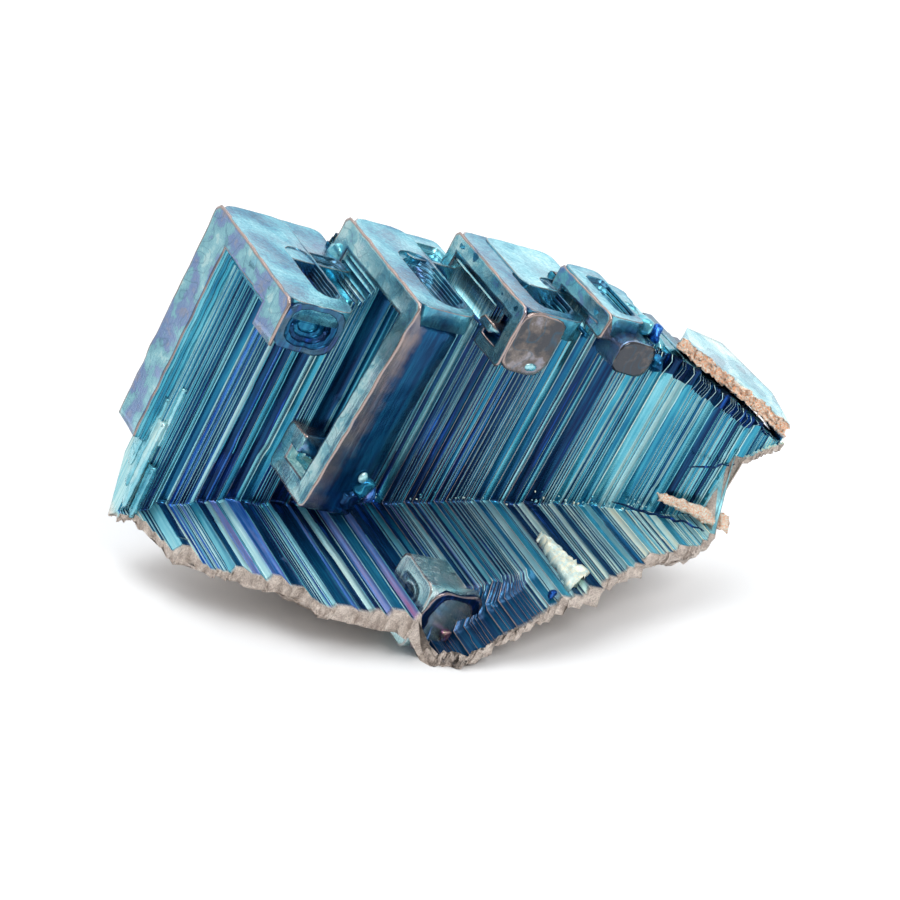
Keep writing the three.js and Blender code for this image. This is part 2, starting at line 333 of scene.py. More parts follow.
@dataclass
class SteppedField:
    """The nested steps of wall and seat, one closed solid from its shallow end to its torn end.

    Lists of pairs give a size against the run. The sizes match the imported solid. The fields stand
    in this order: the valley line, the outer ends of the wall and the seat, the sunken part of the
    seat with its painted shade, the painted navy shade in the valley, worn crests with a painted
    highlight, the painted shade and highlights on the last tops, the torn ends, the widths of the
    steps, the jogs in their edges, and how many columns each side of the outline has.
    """

    steps: int = 112
    valley_start: tuple[float, float, float] = (-32.9, 5.6, 1.2)
    valley_span: tuple[float, float, float] = (27.8, 27.7, 45.1)
    valley_arch: float = 1.7
    end_share: float = 1.055
    wall_top: tuple = ((0, -1.4), (9, -1.2), (11.2, -0.8), (12, 2.4), (20.8, 2.4), (21.8, 5.6),
                       (28.6, 5.8), (29.6, 8.0), (36.2, 8.0), (39, 7.9), (42, 7.2), (45, 6.3),
                       (49, 4.6))
    wall_back: tuple = ((0, 2.6), (3, 1.4), (9, 0.9), (13.5, 3.9), (23, 8.2), (31, 14.2),
                        (40, 19.5), (49, 25.5))
    wall_foot: tuple = ((44.8, -7), (45.3, -1.6), (46.0, 1.0), (47.5, 3.3), (49, 5.2))
    heel_cut: tuple = ((0, 2.6), (9, 0.8), (49, 0.8))
    heel_rise: float = 5.0
    seat_length: tuple = ((1.2, 1.0), (2.4, 2.0), (3.9, 10.6), (7, 13.8), (11.6, 18.4), (16, 20.0),
                          (20.4, 22.2), (26.3, 19.4), (31.6, 15.6), (37, 11.0), (43.8, 5.4),
                          (47, 2.0))
    seat_back: tuple = ((0, 0.8), (4, 2.6), (10, 6.8), (30, 7.4), (49, 7.4))
    seat_rim: tuple = ((1.2, 0.4), (8, 0.6), (14, 0.9), (19, 2.2), (24, 1.6), (30, 0.9), (47, 0.8))
    seat_middle: tuple = ((1.2, 0.6), (5, 1.4), (9, 4.4), (47, 4.2))
    sunken: tuple = (18.9, 22.0, 28.5, 34.6)
    sunken_depth: float = 4.6
    sunken_rim: float = 2.6
    # Painted shade in the sunken part: its film, and how far in it starts.
    sunken_shade_film: float = 0.585
    sunken_shown: float = 0.15
    # Painted shade in the valley: its strength, its middle and width along the run, and its fall-off
    # up the arms.
    valley_shade: float = 0.22
    valley_shade_run: float = 18.0
    valley_shade_width: float = 11.0
    valley_shade_reach: float = 0.14
    rubbed: tuple = ((0, 0.5), (17, 0.55), (23, 0.85), (33, 0.8), (38, 0.45), (49, 0.4))
    # Painted highlight on crests: how much their film is raised.
    crest_highlight_film: float = 0.20
    # The last tops: where they start along the run and up the wall, and the film of the painted
    # highlight on their crests; painted navy shade lies between.
    scallop_run: float = 35.5
    scallop_place: float = 0.88
    scallop_highlight_film: float = 0.90
    flare: float = 0.5
    flare_run: float = 35.0
    flare_place: float = 0.86
    ragged_front: float = 0.9
    ragged_top: float = 0.5
    rough_front: float = 0.20
    rough_under: float = 0.30
    rough_grain: float = 2.3
    rough_seed: int = 40
    crest_least: float = 0.012
    crest_most: float = 0.085
    crest_share: float = 0.26
    unevenness: float = 0.42
    fine_start: int = 7
    flat_chance: float = 0.30
    flat_width: float = 4.6
    turned: float = 0.22
    jogged: float = 0.30
    jog_chance: float = 0.45
    jog_length: float = 0.03
    jog_seeds: tuple[int, int, int, int] = (21, 22, 23, 24)
    wall_crowding: float = 1.15
    columns: dict = field(default_factory=lambda: {
        "wall": 40, "top": 5, "back": 10, "heel": 6, "under": 10, "rim": 8, "front": 5, "seat": 28})
    seed: int = 7

    @staticmethod
    def along(pairs: tuple, run: Array) -> Array:
        """Reads a list of pairs at a place along the run, by straight lines between them."""
        places, sizes = np.array(pairs, float).T
        return np.interp(run, places, sizes)

    def shares(self) -> Array:
        """Returns three rows of step positions, from 0 to the end share, one row for each axis.

        Every step is either fine or a wide flat, and then a little uneven, with the widths on the
        three axes partly agreeing; their running sum is scaled to the whole length.
        """
        rng = np.random.default_rng(self.seed)
        flat = rng.random(self.steps) < self.flat_chance
        common = rng.normal(size=self.steps)
        own = rng.normal(size=(3, self.steps))
        widths = np.where(flat, self.flat_width, 1.0) * np.exp(
            self.unevenness * (0.6 * common + 0.8 * own))
        widths[:, :self.fine_start] = np.minimum(widths[:, :self.fine_start], 0.9)
        sums = np.concatenate([np.zeros((3, 1)), np.cumsum(widths, axis=1)], axis=1)
        return sums / sums[:, -1:] * self.end_share

    def valley(self, share: Array, axis: int) -> Array:
        """Returns the valley line's place on one axis: a straight line, arched along rise."""
        line = self.valley_start[axis] + self.valley_span[axis] * share
        if axis == 0:
            line = line + self.valley_arch * np.sin(np.pi * share)
        return line

    def jogs(self, places: Array, widths: Array, seed: int) -> Array:
        """How far every edge strays from its straight line along an arm.

        An edge is turned by a small angle, and jogs sideways at up to two places: each jog is a
        short smooth step. The size of all this is a share of the narrower neighbouring step.

        Args:
            places: Place along the arm of each column, 0 at the valley.
            widths: The steps' widths.
            seed: Chooses the jogs.

        Returns:
            Shifts by edge and column, in the same unit as the widths.
        """
        rng = np.random.default_rng(seed)
        count = len(widths) + 1
        room = np.minimum(np.append(widths, 0), np.insert(widths, 0, 0))[:, None]
        shift = rng.uniform(-self.turned, self.turned, (count, 1)) * places
        for _jog in range(2):
            start = rng.uniform(0.12, 0.95, (count, 1))
            size = rng.uniform(-self.jogged, self.jogged, (count, 1))
            size = size * (rng.random((count, 1)) < self.jog_chance)
            step = np.clip((places - start) / self.jog_length, 0, 1)
            shift = shift + size * step * step * (3 - 2 * step)
        return shift * room

    def shell(self) -> Shell:
        """Returns the field as one closed shell.

        The rows follow the staircase along the run. Each row is the L-shaped outline of one step:
        up the wall, over its top, down the back, along the underside, and back along the seat.
        """
        rng = np.random.default_rng(self.seed + 1)
        shares = self.shares()
        rise, reach, run = (self.valley(shares[axis], axis) for axis in range(3))
        beyond = shares[0] > 1
        rise = np.where(beyond, np.maximum(rise, self.along(self.wall_foot, run)), rise)
        widths = np.minimum(np.diff(reach), np.minimum(np.diff(run), np.abs(np.diff(rise))))
        crest = np.clip(widths * self.crest_share, self.crest_least, self.crest_most)
        stair = Stair(self.steps)
        step = stair.steps()
        done = stair.tiled(Stair.DONE)[:, None]
        after = np.minimum(step + 1, self.steps)
        side = (stair.tiled(Stair.SIDE) * crest[step])[:, None]
        down = stair.tiled(Stair.DOWN) * crest[step]
        row_run = run[step] + down
        inner_rise = rise[step, None] * (1 - done) + rise[after, None] * done + side
        inner_reach = reach[step, None] * (1 - done) + reach[after, None] * done + side
        outer = np.maximum(step - (stair.tiled(Stair.DONE) == 0), 0)
        outline = self.outline(rise, reach, run, rng)
        anchors = {key: value[outer][:, None] for key, value in outline.items()}
        corners = [
            (inner_rise, inner_reach, "wall"),
            (anchors["top"], inner_reach, "top"),
            (anchors["top"], anchors["back"], "back"),
            (anchors["knee"], anchors["back"], "heel"),
            (anchors["heel"], anchors["heel_reach"], "under"),
            (anchors["middle"], anchors["middle_reach"], "rim"),
            (anchors["rim"], anchors["front"], "front"),
            (inner_rise, anchors["front"], "seat"),
        ]
        parts, kinds, places = [], [], []
        for number, (start_rise, start_reach, key) in enumerate(corners):
            end_rise, end_reach, _next = corners[(number + 1) % len(corners)]
            share = np.arange(self.columns[key]) / self.columns[key]
            if key == "wall":
                share = share ** self.wall_crowding
            parts.append(np.stack([
                start_rise + (end_rise - start_rise) * share,
                start_reach + (end_reach - start_reach) * share,
                np.broadcast_to(row_run[:, None], (len(step), len(share)))], axis=-1))
            kinds += [key] * len(share)
            places += list(share if key == "wall" else 1 - share)
        grid = np.concatenate(parts, axis=1)
        kind, place = np.array(kinds), np.array(places)
        wall, seat = kind == "wall", kind == "seat"
        edge = step + (stair.tiled(Stair.DONE) > 0)
        wall_reach, wall_run, seat_rise, seat_run = self.jog_seeds
        grid[:, wall, 1] += self.jogs(place[wall], np.diff(reach), wall_reach)[edge]
        grid[:, wall, 2] += self.jogs(place[wall], np.diff(run), wall_run)[step]
        flare = np.clip((place[wall] - self.flare_place) / 0.1, 0, 1)
        flare = flare * np.clip((row_run - self.flare_run) / 2, 0, 1)[:, None]
        grid[:, wall, 1] += self.flare * flare * stair.tiled(Stair.WEAR)[:, None]
        grid[:, seat, 0] += self.jogs(place[seat], np.abs(np.diff(rise)), seat_rise)[edge]
        grid[:, seat, 2] += self.jogs(place[seat], np.diff(run), seat_run)[step]
        return self.marked(self.hollowed(grid, kind), kind, place, stair, rng)

    def hollow_share(self, grid: Array) -> Array:
        """Returns how far inside the sunken part of the seat each point is, from 0 to 1."""
        run_low, run_full, run_high, reach_low = self.sunken
        reach, run = grid[..., 1], grid[..., 2]
        across = np.clip((run - run_low) / 0.4, 0, 1) * np.clip(
            (run_high - run) / (run_high - run_full), 0, 1)
        return across * np.clip((reach - reach_low) / 0.4, 0, 1)

    def hollowed(self, grid: Array, kind: Array) -> Array:
        """Sinks the seat in front of the small block, steeply at its left, gently at its right."""
        drop = np.where(kind == "seat", self.sunken_depth, 0.0)
        drop = drop + np.where(np.isin(kind, ["rim", "front"]), self.sunken_rim, 0.0)
        grid[..., 0] -= self.hollow_share(grid) * drop
        return grid

    def outline(self, rise: Array, reach: Array, run: Array, rng: np.random.Generator) -> dict:
        """Works out the outer corners of every step's L outline.

        Args:
            rise: Rise of each step's inner corner.
            reach: Reach of each step's inner corner.
            run: Run of each step.
            rng: Source of the ragged ends.

        Returns:
            Arrays by name: top, back, knee, heel, heel_reach, middle, middle_reach, rim, front.
        """
        count = len(run)
        beyond = run > self.wall_foot[0][0] + 0.3
        length = np.where(beyond, 0.5, self.along(self.seat_length, run))
        slabs = np.repeat(rng.random(count), rng.integers(3, 9, count))[:count]
        front = reach + length - self.ragged_front * (0.8 * slabs + 0.2 * rng.random(count))
        front = np.where(beyond, reach + 0.4, front)
        back = self.along(self.wall_back, run)
        thick = np.where(beyond, 0.5, 1.0)
        return {
            "top": self.along(self.wall_top, run) - self.ragged_top * rng.random(count),
            "back": back,
            "knee": rise + np.where(beyond, 0.4, self.heel_rise),
            "heel": rise - self.along(self.seat_back, run) * np.where(beyond, 0.08, 1.0),
            "heel_reach": back + self.along(self.heel_cut, run),
            "middle": rise - self.along(self.seat_middle, run) * np.where(beyond, 0.1, 1.0),
            "middle_reach": (reach + front) / 2,
            "rim": rise - thick * self.along(self.seat_rim, run) - 0.4 * rng.random(count),
            "front": front,
        }

    def marked(self, grid: Array, kind: Array, place: Array, stair: Stair,
               rng: np.random.Generator) -> Shell:
        """Roughens the torn sides and marks films, worn crests and torn metal.

        Args:
            grid: The points by row and column.
            kind: Which side of the outline each column is on.
            place: Place of each column along its arm.
            stair: The staircase of the rows.
            rng: Source of each step's own film.

        Returns:
            The finished shell.
        """
        shape = grid.shape[:2]
        torn_sides = np.isin(kind, ["under", "rim", "front"])
        first_seat = np.flatnonzero(kind == "seat")[0]
        torn = np.broadcast_to(torn_sides.astype(float), shape).copy()
        amount = torn * np.where(kind == "front", self.rough_front, self.rough_under)
        grid = roughen(grid, amount, self.rough_seed, self.rough_grain)
        torn[:, first_seat] = 1.0
        crest = np.broadcast_to(stair.tiled(Stair.WEAR)[:, None], shape)
        rubbed = self.along(self.rubbed, grid[..., 2])
        wear = crest * rubbed * np.isin(kind, ["wall", "seat", "top", "back"])
        film = np.where(np.isin(kind, ["seat", "front"]), self.films(stair, "seat", rng)[:, None],
                        self.films(stair, "wall", rng)[:, None])
        film = self.shaded(film, grid, kind, place, stair)
        seat = np.broadcast_to(np.isin(kind, ["seat", "front"]).astype(float), shape)
        return Shell(grid, film, {"wear": wear, "broken": torn, "seat": seat})

    def shaded(self, film: Array, grid: Array, kind: Array, place: Array, stair: Stair) -> Array:
        """Paints shade into the valley, the seat's hollow and the last tops, and highlights on
        crests.

        The painted shade falls off as the exponential of the distance along the arm, and is
        strongest at the middle of the run. Crests get a painted highlight, paler than their steps;
        the last tops get painted navy shade, with a painted highlight on their crests.

        Args:
            film: Film by row and column.
            grid: The points by row and column.
            kind: Which side of the outline each column is on.
            place: Place of each column along its arm.
            stair: The staircase of the rows.

        Returns:
            The changed film.
        """
        run = grid[..., 2]
        # Painted shade: darker film towards the valley line, strongest at the middle of the run.
        middle = np.exp(-((run - self.valley_shade_run) / self.valley_shade_width) ** 2)
        arms = np.isin(kind, ["wall", "seat"])
        painted_valley_shade = self.valley_shade * middle * np.exp(-place / self.valley_shade_reach) * arms
        film = np.where(film > PAINTED_SHADE_FILM, np.maximum(film - painted_valley_shade, PAINTED_SHADE_FILM), film)
        # Painted highlight: crests get a paler film than their steps.
        crest = (stair.tiled(Stair.WEAR) > 0)[:, None]
        film = np.where(crest & arms & (film > PAINTED_SHADE_FILM), film + self.crest_highlight_film, film)
        # Painted navy shade on the last tops, with a painted highlight on their crests.
        painted_scallop = (run > self.scallop_run) & (kind == "wall") & (place > self.scallop_place)
        film = np.where(painted_scallop, np.where(crest, self.scallop_highlight_film, PAINTED_SHADE_FILM), film)
        # Painted shade: a dark teal film in the seat's sunken part.
        sunk = (kind == "seat") & (self.hollow_share(grid) > self.sunken_shown)
        return np.where(sunk, self.sunken_shade_film, film)

    def films(self, stair: Stair, arm: str, rng: np.random.Generator) -> Array:
        """Chooses the film of every row on one arm.

        Each step keeps near the tint of its part of the field. Now and then a step is a blue flat
        or a pale one, which is also a painted highlight, or its narrow face is dark.

        Args:
            stair: The staircase of the rows.
            arm: Either wall or seat.
            rng: Source of each step's own film.

        Returns:
            One film value for each row.
        """
        share = np.arange(self.steps) / self.steps
        films = []
        for face in ("tread", "riser"):
            places, middle, spread, blue = np.array(FIELD_FILMS[arm, face], float).T
            value = np.interp(share, places, middle)
            value = value + np.interp(share, places, spread) * rng.normal(size=self.steps)
            value = np.clip(value, FILM_LIMITS[0], np.maximum(FILM_LIMITS[1], np.interp(
                share, places, middle)))
            dark = (rng.random(self.steps) < DARK_CHANCE) & (face == "riser") & (share < DARK_UNTIL)
            value = np.where(dark, DARK_FILM, value)
            flat = rng.random(self.steps) < np.interp(share, places, blue)
            value = np.where(flat, rng.uniform(*BLUE_FLATS[arm], self.steps), value)
            # Pale treads: a paler film that is also a painted highlight, on random steps.
            light = (rng.random(self.steps) < PALE_HIGHLIGHT_CHANCE) & ~flat & (face == "tread")
            films.append(np.where(light, rng.uniform(*PALE_HIGHLIGHT_FLATS[arm], self.steps), value))
        tread, riser = films
        step = stair.steps()
        return np.where(stair.is_tread(), tread[step], riser[step])


# --------------------------------------------------------------------------------------------
# Square frames
# --------------------------------------------------------------------------------------------

@dataclass
class SquareFrame:
    """A raised square frame: a stepped section carried round a right-angled spiral.

    Attributes:
        corners: Outer corners of the spiral as rise and reach, each turn the same way.
        widths: Width of the front face on each stretch between corners.
        front: Run of the front face.
        back: Run of the back.
        inside: Extra inset and run of each inner step, front to back.
        film: Film of the front face, of the outer walls and of the inner steps.
        skin: How mottled the front, the outer walls and the inner steps are.
        bruise: How far back the worn front edge spreads over the outer walls.
        lean: How much run grows for each millimetre of rise above the roof.
        sunk: Stretches whose outer wall is set back, to lie inside the terraced block there.
        under: How far it is set back; sunk_behind is how far behind the front that starts.
        crest: Size of the raised edges.
        chamfer: How far each corner is cut.
        wobble: How far the surface strays from straight.
        film_spread: How far the films of the inner steps differ.
        pieces_per_mm: How finely each stretch is divided.
    """

    corners: tuple
    widths: tuple
    front: float
    back: float
    inside: tuple
    film: tuple = (0.50, 0.52, 0.60)
    skin: tuple = (1.0, 0.2, 0.0)
    bruise: float = 2.4
    lean: float = 0.0
    sunk: tuple = (1,)
    under: float = 1.9
    sunk_behind: float = 0.8
    crest: float = 0.16
    chamfer: float = 0.35
    wobble: float = 0.05
    film_spread: float = 0.07
    pieces_per_mm: float = 1.6
    seed: int = 3

    def section(self) -> tuple[Array, ...]:
        """Works out the stepped section, from the back of the outside round to the inside.

        Returns:
            For each row: share of the front width, extra inset, run, wear, and kind of the face
            that follows: 0 front, 1 outer wall, 2 inner steps.
        """
        size, front, back = self.crest, self.front, self.back
        deep = back - front
        rows = [(0, 0, back, 0.0, 1)]
        rows += [(0, 0, front + deep * part, worn, 1)
                 for part, worn in ((0.75, 0.0), (0.6, 0.0), (self.bruise / deep, 0.4),
                                    (self.bruise / deep / 2, 0.7))]
        rows += [(0, 0, front + size, 0.8, 1), (0, -size * 0.12, front + size * 0.3, 1.0, 0),
                 (0, size * 0.35, front - size * 0.2, 1.0, 0), (0, size * 1.5, front, 0.15, 0),
                 (0.5, 0, front + size * 0.2, 0.0, 0), (1, -size * 1.3, front, 0.0, 0),
                 (1, -size * 0.35, front - size * 0.15, 0.8, 2),
                 (1, size * 0.1, front + size * 0.3, 0.8, 2)]
        extra = 0.0
        for gap, depth in self.inside:
            rows.append((1, extra, depth, 0.0, 2))
            if gap > extra:
                rows += [(1, gap - size * 0.3, depth, 0.0, 2), (1, gap, depth - size * 0.1, 0.7, 2),
                         (1, gap, depth + size * 0.3, 0.0, 2)]
            extra = gap
        rows.append((1, extra, back, 0.0, 2))
        return tuple(np.array(column) for column in zip(*rows))

    def shell(self) -> Shell:
        """Returns the frame as one closed shell.

        At every corner the section's point is where the two neighbouring stretches' inset lines
        cross, split in two along the stretches to cut the corner; between corners it lies on the
        straight line from one to the next.
        """
        path, widths = np.array(self.corners, float), np.array(self.widths, float)
        share, inset, run, wear, kind = self.section()
        ways = np.diff(path, axis=0)
        ways /= np.linalg.norm(ways, axis=1, keepdims=True)
        normals = np.stack([-ways[:, 1], ways[:, 0]], 1)
        normals *= np.sign(ways[0, 0] * ways[1, 1] - ways[0, 1] * ways[1, 0])
        deep = share * widths[:, None] + inset
        behind = (kind == 1) & (run > self.front + self.sunk_behind)
        deep[np.ix_(list(self.sunk), np.flatnonzero(behind))] += self.under
        before, after = normals[:-1], normals[1:]
        cross = (before[:, 0] * after[:, 1] - before[:, 1] * after[:, 0])[:, None]
        first = (deep[:-1] * after[:, 1:2] - deep[1:] * before[:, 1:2]) / cross
        second = (deep[1:] * before[:, 0:1] - deep[:-1] * after[:, 0:1]) / cross
        turns = path[1:-1, None, :] + np.stack([first, second], -1)
        cut = (self.chamfer * np.clip(1 - share, 0.1, 1))[None, :, None]
        pairs = np.stack([turns - ways[:-1, None] * cut, turns + ways[1:, None] * cut], axis=1)
        ends = path[[0, -1], None] + deep[[0, -1], :, None] * normals[[0, -1], None]
        nodes = np.concatenate([ends[:1], pairs.reshape(-1, *pairs.shape[2:]), ends[1:]])
        lengths = np.linalg.norm(np.diff(nodes[:, 0], axis=0), axis=1)
        pieces = np.maximum((lengths * self.pieces_per_mm).astype(int), 1)
        stretch = np.append(np.repeat(np.arange(len(pieces)), pieces), len(pieces) - 1)
        part = np.append(np.concatenate([np.arange(count) / count for count in pieces]), 1.0)
        part = part[:, None, None]
        flat = nodes[stretch] * (1 - part) + nodes[stretch + 1] * part
        runs = np.broadcast_to(run, flat.shape[:2])
        grid = np.concatenate([flat, runs[..., None]], axis=-1)
        grid = grid + self.wobble * np.stack(
            [ripple(grid, 2.6, self.seed + axis) for axis in range(3)], axis=-1)
        grid[..., 2] += self.lean * (grid[..., 0] - path[:, 0].max())
        shape = grid.shape[:2]
        film = np.broadcast_to(np.array(self.film)[kind], shape).copy()
        levels = np.cumsum((wear > 0.6) * (kind == 2))
        rng = np.random.default_rng(self.seed)
        own = rng.normal(size=levels.max() + 1) * self.film_spread
        film += (own[levels] * (kind == 2))[None]
        skin = np.broadcast_to(np.array(self.skin)[kind], shape)
        return Shell(grid, film, {"wear": np.broadcast_to(wear, shape), "skin": skin})


class Facing(Enum):
    """Which way a square hollow faces on the growth axes: axis order and outward sign."""

    RISE = ((0, 1, 2), 1.0)
    REACH = ((1, 0, 2), 1.0)
    RUN_BACK = ((2, 0, 1), -1.0)

    @property
    def order(self) -> tuple[int, int, int]:
        """Returns the outward axis and the two axes across the face."""
        return self.value[0]

    @property
    def sign(self) -> float:
        """Returns the outward direction along its axis."""
        return self.value[1]


@dataclass
class SquareHollow:
    """A block whose face holds nested square terraces, each level its own rounded rectangle.

    Attributes:
        facing: Which way the terraced face looks.
        level: Position of the face along its axis.
        low: Lowest corner across the face.
        high: Highest corner across the face.
        thick: Thickness of the block behind the face.
        rim: Width of the outer rim on the four sides: low and high of the first axis, then of the
            second.
        shrink: How much each terrace is narrower on the same four sides.
        drops: Depth of each terrace below the one before.
        film: Film of the rim; each level adds film_step, and differs by film_spread.
        skin: How mottled the rim is; deep_skin is the same for the terraces.
        worn: How worn the crests are.
        side_film: Film of the sides, if it is not the rim's.
        radius: Corner radius of the terraces.
        crest: Size of the raised edges.
        wobble: How far the outline strays from straight.
    """

    facing: Facing
    level: float
    low: tuple[float, float]
    high: tuple[float, float]
    thick: float
    rim: tuple[float, float, float, float]
    shrink: tuple[float, float, float, float]
    drops: tuple
    film: float = 0.735
    film_step: float = -0.045
    film_spread: float = 0.035
    skin: float = 0.18
    deep_skin: float = 0.2
    worn: float = 0.8
    side_film: float | None = None
    radius: float = 0.5
    crest: float = 0.12
    wobble: float = 0.05
    seed: int = 5
    SIDE_POINTS = 12
    ARC_POINTS = 4

    def ring(self) -> tuple[Array, Array]:
        """Returns a unit rounded square: corner shares and outward directions by column."""
        signs, ways = [], []
        turns = [(1, 1), (-1, 1), (-1, -1), (1, -1)]
        for number, corner in enumerate(turns):
            start = number * math.pi / 2
            angles = start + np.linspace(0, math.pi / 2, self.ARC_POINTS)
            signs += [corner] * self.ARC_POINTS
            ways += list(np.stack([np.cos(angles), np.sin(angles)], 1))
            beyond = np.array(turns[(number + 1) % 4])
            share = np.arange(1, self.SIDE_POINTS)[:, None] / self.SIDE_POINTS
            signs += list(np.array(corner) * (1 - share) + beyond * share)
            ways += [(math.cos(angles[-1]), math.sin(angles[-1]))] * (self.SIDE_POINTS - 1)
        return np.array(signs, float), np.array(ways, float)

    def shell(self) -> Shell:
        """Returns the block as one closed shell, from its back, over the rim, to the middle."""
        size = self.crest
        levels = len(self.drops)
        rows = [(0, 0, -self.thick, 0.0, 0), (0, 0, -size, 0.0, 0), (0, -0.1, -0.3 * size, 1.0, 0),
                (0, 0.5, 0.15 * size, 1.0, 0), (0, 1.3, 0.0, 0.0, 0)]
        depth = 0.0
        for number, drop in enumerate(self.drops):
            inset = number + 1
            rows += [(inset, -0.8, depth, 0.0, number),
                     (inset, -0.2, depth + 0.15 * size, 1.0, number),
                     (inset, 0.1, depth - 0.3 * size, 0.7, number + 1),
                     (inset, 0.1, depth - drop, 0.0, number + 1)]
            depth -= drop
        rows.append((levels + 1, 0.0, depth, 0.0, levels))
        inset, extra, height, wear, level = (np.array(column) for column in zip(*rows))
        gone = np.where(inset[:, None] > 0, np.array(self.rim), 0) + np.maximum(
            inset[:, None] - 1, 0) * np.array(self.shrink)
        gone = gone + extra[:, None] * size
        low = np.array(self.low) + gone[:, [0, 2]]
        high = np.array(self.high) - gone[:, [1, 3]]
        middle, half = (low + high) / 2, np.maximum((high - low) / 2, 0.02)
        radius = np.minimum(self.radius, half.min(1))[:, None, None]
        signs, ways = self.ring()
        flat = middle[:, None] + signs * (half[:, None] - radius) + radius * ways
        heights = np.broadcast_to(height[:, None], flat.shape[:2])
        across = np.concatenate([flat, heights[..., None]], -1)
        flat = flat + ways * self.wobble * ripple(across * [1, 1, 0.4], 2.2, self.seed)[..., None]
        out, first, second = self.facing.order
        grid = np.zeros(flat.shape[:2] + (3,))
        grid[..., first], grid[..., second] = flat[..., 0], flat[..., 1]
        grid[..., out] = self.level + self.facing.sign * heights
        shape = grid.shape[:2]
        rng = np.random.default_rng(self.seed)
        own = rng.normal(size=levels + 2) * self.film_spread
        film = self.film + self.film_step * level + own[level]
        if self.side_film is not None:
            film[:2] = self.side_film
        film = np.broadcast_to(film[:, None], shape)
        skin = np.where(level > 0, self.deep_skin, self.skin)[:, None]
        wear = np.where(level > 0, 0.6, 1.0) * wear * self.worn
        return Shell(grid, film, {"wear": np.broadcast_to(wear[:, None], shape),
                                  "skin": np.broadcast_to(skin, shape)})


def frame_one() -> list[Shell]:
    """Returns the outermost frame: side bar, roof, lip and the terraces on them."""
    bars = SquareFrame(
        corners=((-24.9, -0.4), (0, -0.4), (0, 18.5), (-5.1, 18.5)), widths=(4.6, 2.6, 4.2),
        front=0.0, back=7.4, inside=((0, 0.3), (0.3, 0.55), (0.65, 0.85), (1.0, 1.15)),
        film=(0.50, 0.52, 0.74), crest=0.26, chamfer=0.5, sunk=(1, 2))
    roof = SquareHollow(Facing.RISE, 0.03, (-0.36, 0.08), (18.46, 7.6), 1.85,
                        (6.3, 2.6, 4.4, 0.25), (0.6, 0.35, 0.36, 0.08),
                        (0.4, 0.35, 0.3, 0.3, 0.3), radius=1.6)
    shelf = SquareHollow(Facing.RISE, -0.08, (-0.3, 4.0), (8.6, 11.8), 2.2,
                         (6.3, 0.3, 3.0, 0.4), (0.6, 0.1, 0.5, 0.3), (0.4, 0.35, 0.3),
                         radius=0.9, seed=8)
    lip = SquareHollow(Facing.REACH, 18.52, (-5.05, 0.12), (-0.02, 6.9), 1.6,
                       (0.6, 0.5, 0.7, 0.6), (0.4, 0.35, 0.5, 0.5), (0.2, 0.3, 0.3, 0.3),
                       film=0.54, film_step=0.012, skin=0.15, deep_skin=0.0, worn=0.3,
                       radius=1.6, crest=0.18, seed=9)
    return [bars.shell(), roof.shell(), shelf.shell(), lip.shell()]


def frame_two() -> list[Shell]:
    """Returns the second frame: roof, long near bar, and the foot that hooks back up."""
    bars = SquareFrame(
        corners=((-3.4, 3.8), (3.9, 3.8), (3.9, 21.5), (-20.4, 20.8), (-20.4, 12.4),
                 (-15.0, 12.4), (-15.0, 15.8)),
        widths=(2.6, 2.4, 2.4, 2.0, 2.0, 1.9), front=11.5, back=17.0,
        inside=((0, 12.0), (0.25, 12.5), (0.5, 13.2), (0.75, 14.2)), film=(0.72, 0.575, 0.83),
        skin=(1.0, 0.0, 0.0), lean=0.045, crest=0.24, chamfer=0.45, seed=13)
    roof = SquareHollow(Facing.RISE, 3.94, (3.84, 11.58), (21.46, 18.6), 2.0,
                        (5.2, 1.5, 2.7, 0.3), (0.7, 0.4, 0.42, 0.08),
                        (0.38, 0.34, 0.33, 0.3, 0.3), radius=1.8, seed=15)
    board = SquareHollow(Facing.RISE, 3.8, (4.2, 16.0), (10.0, 22.2), 2.2,
                         (1.7, 0.4, 2.3, 0.5), (0.5, 0.2, 0.5, 0.3), (0.5, 0.4),
                         radius=0.7, seed=16)
    return [bars.shell(), roof.shell(), board.shell()]


def frame_three() -> list[Shell]:
    """Returns the third frame, its short hooked lip and the board behind it."""
    bars = SquareFrame(
        corners=((1.5, 7.7), (7.0, 7.7), (7.0, 23.4), (0.3, 23.4), (0.3, 17.6), (3.2, 17.6),
                 (3.2, 19.8)),
        widths=(1.5, 1.8, 1.7, 1.4, 1.2, 1.0), front=21.4, back=27.0,
        inside=((0, 21.9), (0.3, 22.4), (0.6, 23.2), (0.9, 24.0)), film=(0.66, 0.52, 0.60),
        skin=(1.0, 0.4, 0.0), crest=0.22, chamfer=0.45, sunk=(1, 2), seed=23)
    end = SquareHollow(Facing.REACH, 23.42, (0.35, 21.5), (6.95, 26.9), 1.6,
                       (1.0, 0.9, 1.2, 0.8), (0.5, 0.4, 0.5, 0.5), (), film=-0.05, skin=0.85,
                       worn=0.9, radius=1.5, crest=0.3, seed=25)
    roof = SquareHollow(Facing.RISE, 7.04, (7.74, 21.48), (23.36, 29.0), 2.2,
                        (7.0, 1.5, 2.3, 0.3), (0.7, 0.5, 0.45, 0.1), (0.5, 0.4, 0.4, 0.3),
                        radius=1.4, seed=26)
    board = SquareHollow(Facing.RISE, 7.16, (7.8, 24.4), (17.4, 33.0), 3.2,
                         (6.8, 0.3, 3.0, 0.6), (0.6, 0.1, 0.6, 0.4), (0.45, 0.4, 0.4),
                         radius=1.2, seed=27)
    return [bars.shell(), end.shell(), roof.shell(), board.shell()]


